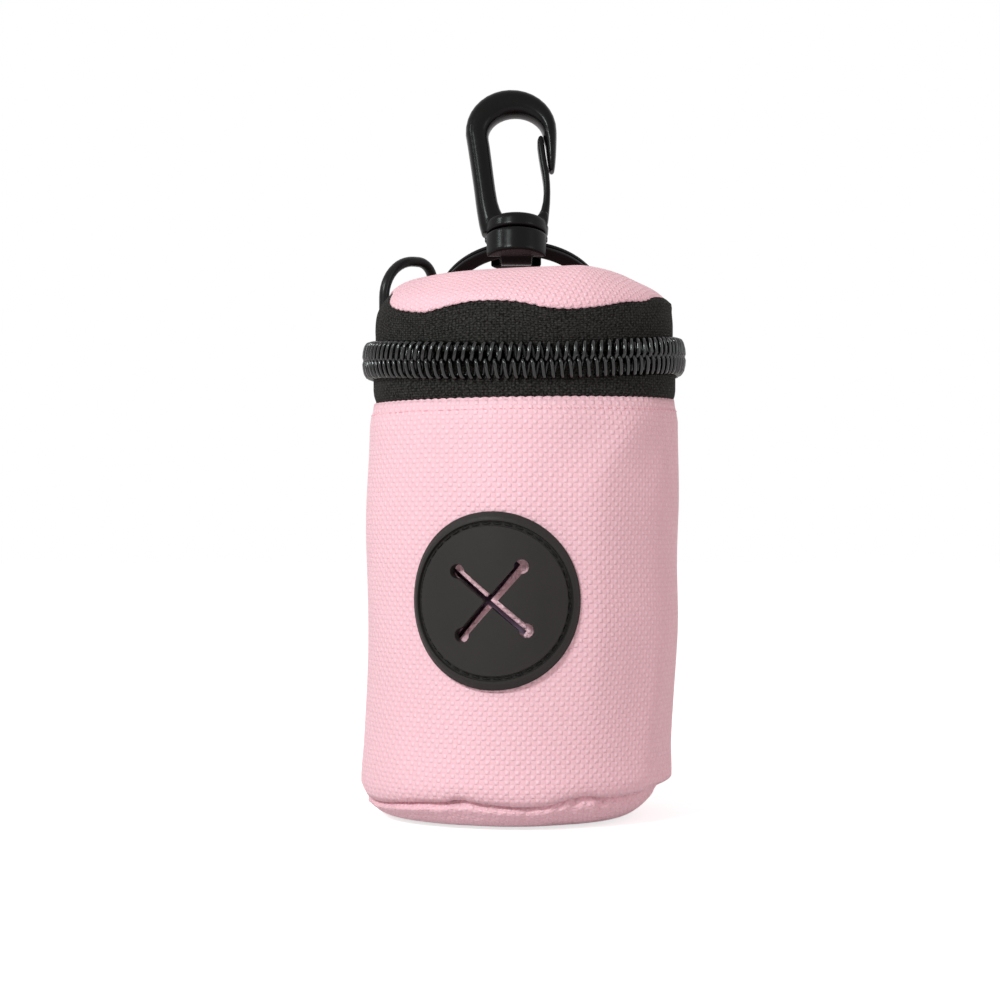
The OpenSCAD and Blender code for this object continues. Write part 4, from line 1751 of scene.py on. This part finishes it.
@dataclass
class BagRoll:
    """The roll of bags on its card core, with the free end of the outermost bag."""

    foot: float = 1.4
    height: float = 58.0
    core: float = 5.0
    card: float = 1.0
    rim: float = 0.12
    radius: float = 16.5
    layers: int = 14
    patch_angle: float = 11.0
    tail_width: float = 11.0
    tail_inset: float = 3.0

    def core_outline(self) -> list[Point]:
        """The outline of the card tube, with its edges broken."""
        inner, outer, rim = self.core, self.core + self.card, self.rim
        low, high = self.foot, self.foot + self.height
        return [
            (inner, low + rim), (inner + rim, low), (outer - rim, low), (outer, low + rim),
            (outer, high - rim), (outer - rim, high), (inner + rim, high), (inner, high - rim),
        ]

    def bags_outline(self) -> list[Point]:
        """The outline of the wound bags, whose ends show their layers."""
        outer = self.core + self.card
        low, high = self.foot, self.foot + self.height
        gap = (self.radius - outer - 0.08) / self.layers
        ends: list[Point] = []
        for layer in range(self.layers):
            start = outer + 0.06 + layer * gap
            lift = 0.18 * math.sin(layer * 2.3) + 0.15
            ends += [(start, 0.35), (start + 0.25 * gap, lift), (start + 0.75 * gap, lift)]
        bottom = [(radius, low + 1 + rise) for radius, rise in ends]
        top = [(radius, high - 1 - rise) for radius, rise in reversed(ends)]
        return [*bottom, (self.radius, low + 1.6), (self.radius, high - 1.6), *top]

    def tail_point(self, across: float, up: float) -> Vector:
        """Finds a point of the free end's face.

        Args:
            across: Share of the way across.
            up: Share of the way up.

        Returns:
            The point.
        """
        out = around(1, self.patch_angle, 0)
        bow = 0.25 * math.sin(up * 9) * (1 - across)
        beside = UP.cross(out) * (10.0 - self.tail_width * across)
        rise = self.foot + self.tail_inset + (self.height - 2 * self.tail_inset) * up
        return out * (self.radius + 0.3 + max(0.0, bow) * 0.6) + beside + UP * rise

    def build(self) -> None:
        """Builds the core, the wound bags and the free end."""
        bm = turned(self.core_outline(), 64)
        Piece("card_core", CARD, "core_card", Body.ROLL, ("roll_core",)).build(bm)
        bm = turned(self.bags_outline(), 96)
        Piece("wound_bags", FILM, "bag_film", Body.ROLL, ("bag_roll",)).build(bm)
        flat = strip(self.tail_width, self.height - 2 * self.tail_inset)
        bm = sewn_sheet(10, 40, self.tail_point, flat)
        tail = thicken(Piece("bag_free_end", FILM, "bag_film", Body.ROLL, ("bag_tail",)).build(bm), 0.2)


@dataclass
class Studio:
    """The camera, the floor and the light."""

    lens: float = 87.83
    eye: Triple = (-3.93, -400.0, 51.3)
    aim: Triple = (0.0, 0.0, 0.055)
    daylight: Triple = (0.9, 1.0, 0.99)
    room: Colour = (0.525, 0.42, 0.41, 1.0)
    white: Colour = (1.0, 1.0, 1.0, 1.0)
    paper: float = 0.7
    lamps: tuple[tuple[str, Triple, float, float], ...] = (
        ("key", (-0.37, -0.59, 0.45), 0.12, 3.9),
        ("side", (-0.64, -0.21, 0.49), 0.12, 1.0),
        ("fill", (0.6, -0.42, 0.3), 0.3, 0.7),
    )

    def place_camera(self) -> None:
        """Puts the camera where the photograph was taken from."""
        camera = held(bpy.data.cameras.new("camera"), "camera")
        camera.data.lens = self.lens
        camera.data.sensor_width = 36.0
        camera.data.clip_start = 0.01
        camera.location = [part * MM for part in self.eye]
        camera.rotation_euler = (math.pi / 2, 0, 0)
        bpy.context.scene.camera = camera

    def hang_lamps(self) -> None:
        """Adds the soft square lamps, which face the pouch."""
        for name, spot, size, power in self.lamps:
            light = bpy.data.lights.new(name, "AREA")
            light.size = size
            light.energy = power
            light.color = self.daylight
            holder = held(light, name)
            holder.location = spot
            way = Vector(self.aim) - holder.location
            holder.rotation_euler = way.to_track_quat("-Z", "Y").to_euler()

    def light_room(self) -> None:
        """Fills the room with plain light and shows a white backdrop."""
        world = bpy.data.worlds.new("room")
        bpy.context.scene.world = world
        sheet = NodeSheet(world, "Background")
        sheet.paint(Color=sheet.blend(sheet.seen_ray(), self.room, self.white))

    def lay_floor(self) -> None:
        """Lays a pale floor that fades into the white backdrop and keeps the shadow."""
        bm = bmesh.new()
        bmesh.ops.create_circle(bm, cap_ends=True, segments=96, radius=1.6)
        floor = held(stored(bm, "floor"), "floor")
        floor.location.z = -0.0001
        sheet = NodeSheet(bpy.data.materials.new("floor"))
        sheet.paint(
            Base_Color=(self.paper, self.paper, self.paper, 1),
            Roughness=0.9,
            Specular_IOR_Level=0.1,
            Emission_Color=self.white,
            Emission_Strength=sheet.maths("MULTIPLY", sheet.seen_ray(), self.paper),
        )
        floor.data.materials.append(sheet.owner)

    def build(self) -> None:
        """Sets up the whole studio."""
        bpy.context.scene.view_settings.view_transform = "Standard"
        self.place_camera()
        self.light_room()
        self.lay_floor()
        self.hang_lamps()


def write_sizes() -> None:
    """Brings the scene's placements up to date."""
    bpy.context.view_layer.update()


def main() -> None:
    """Builds the pouch piece by piece."""
    logging.basicConfig(level=logging.INFO, format="%(message)s")
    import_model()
    side = SidePanel()
    base = BasePanel(side)
    for part in (
        Studio(),
        side,
        base,
        Patch(side),
        RearSeam(side),
        Binding("base_binding", "base_seam_binding", Body.POUCH, 21.9, 5.2, 8.6, base.seam_shift),
        Binding("lid_binding", "lid_seam_binding", Body.LID, 22.6, 78.8, 82.2),
        Lid(),
        LowerTape(),
        CoilRow("upper_coil", ("upper_zip_coil",), True),
        CoilRow("lower_coil", ("lower_zip_coil", "lower_coil_ends"), False),
        RearPanel(),
        ZipStops(),
        Slider(),
        Hanger(),
        SplitRing(),
        SnapHook(),
        BagRoll(),
    ):
        part.build()
    write_sizes()


if __name__ == "__main__":
    main()
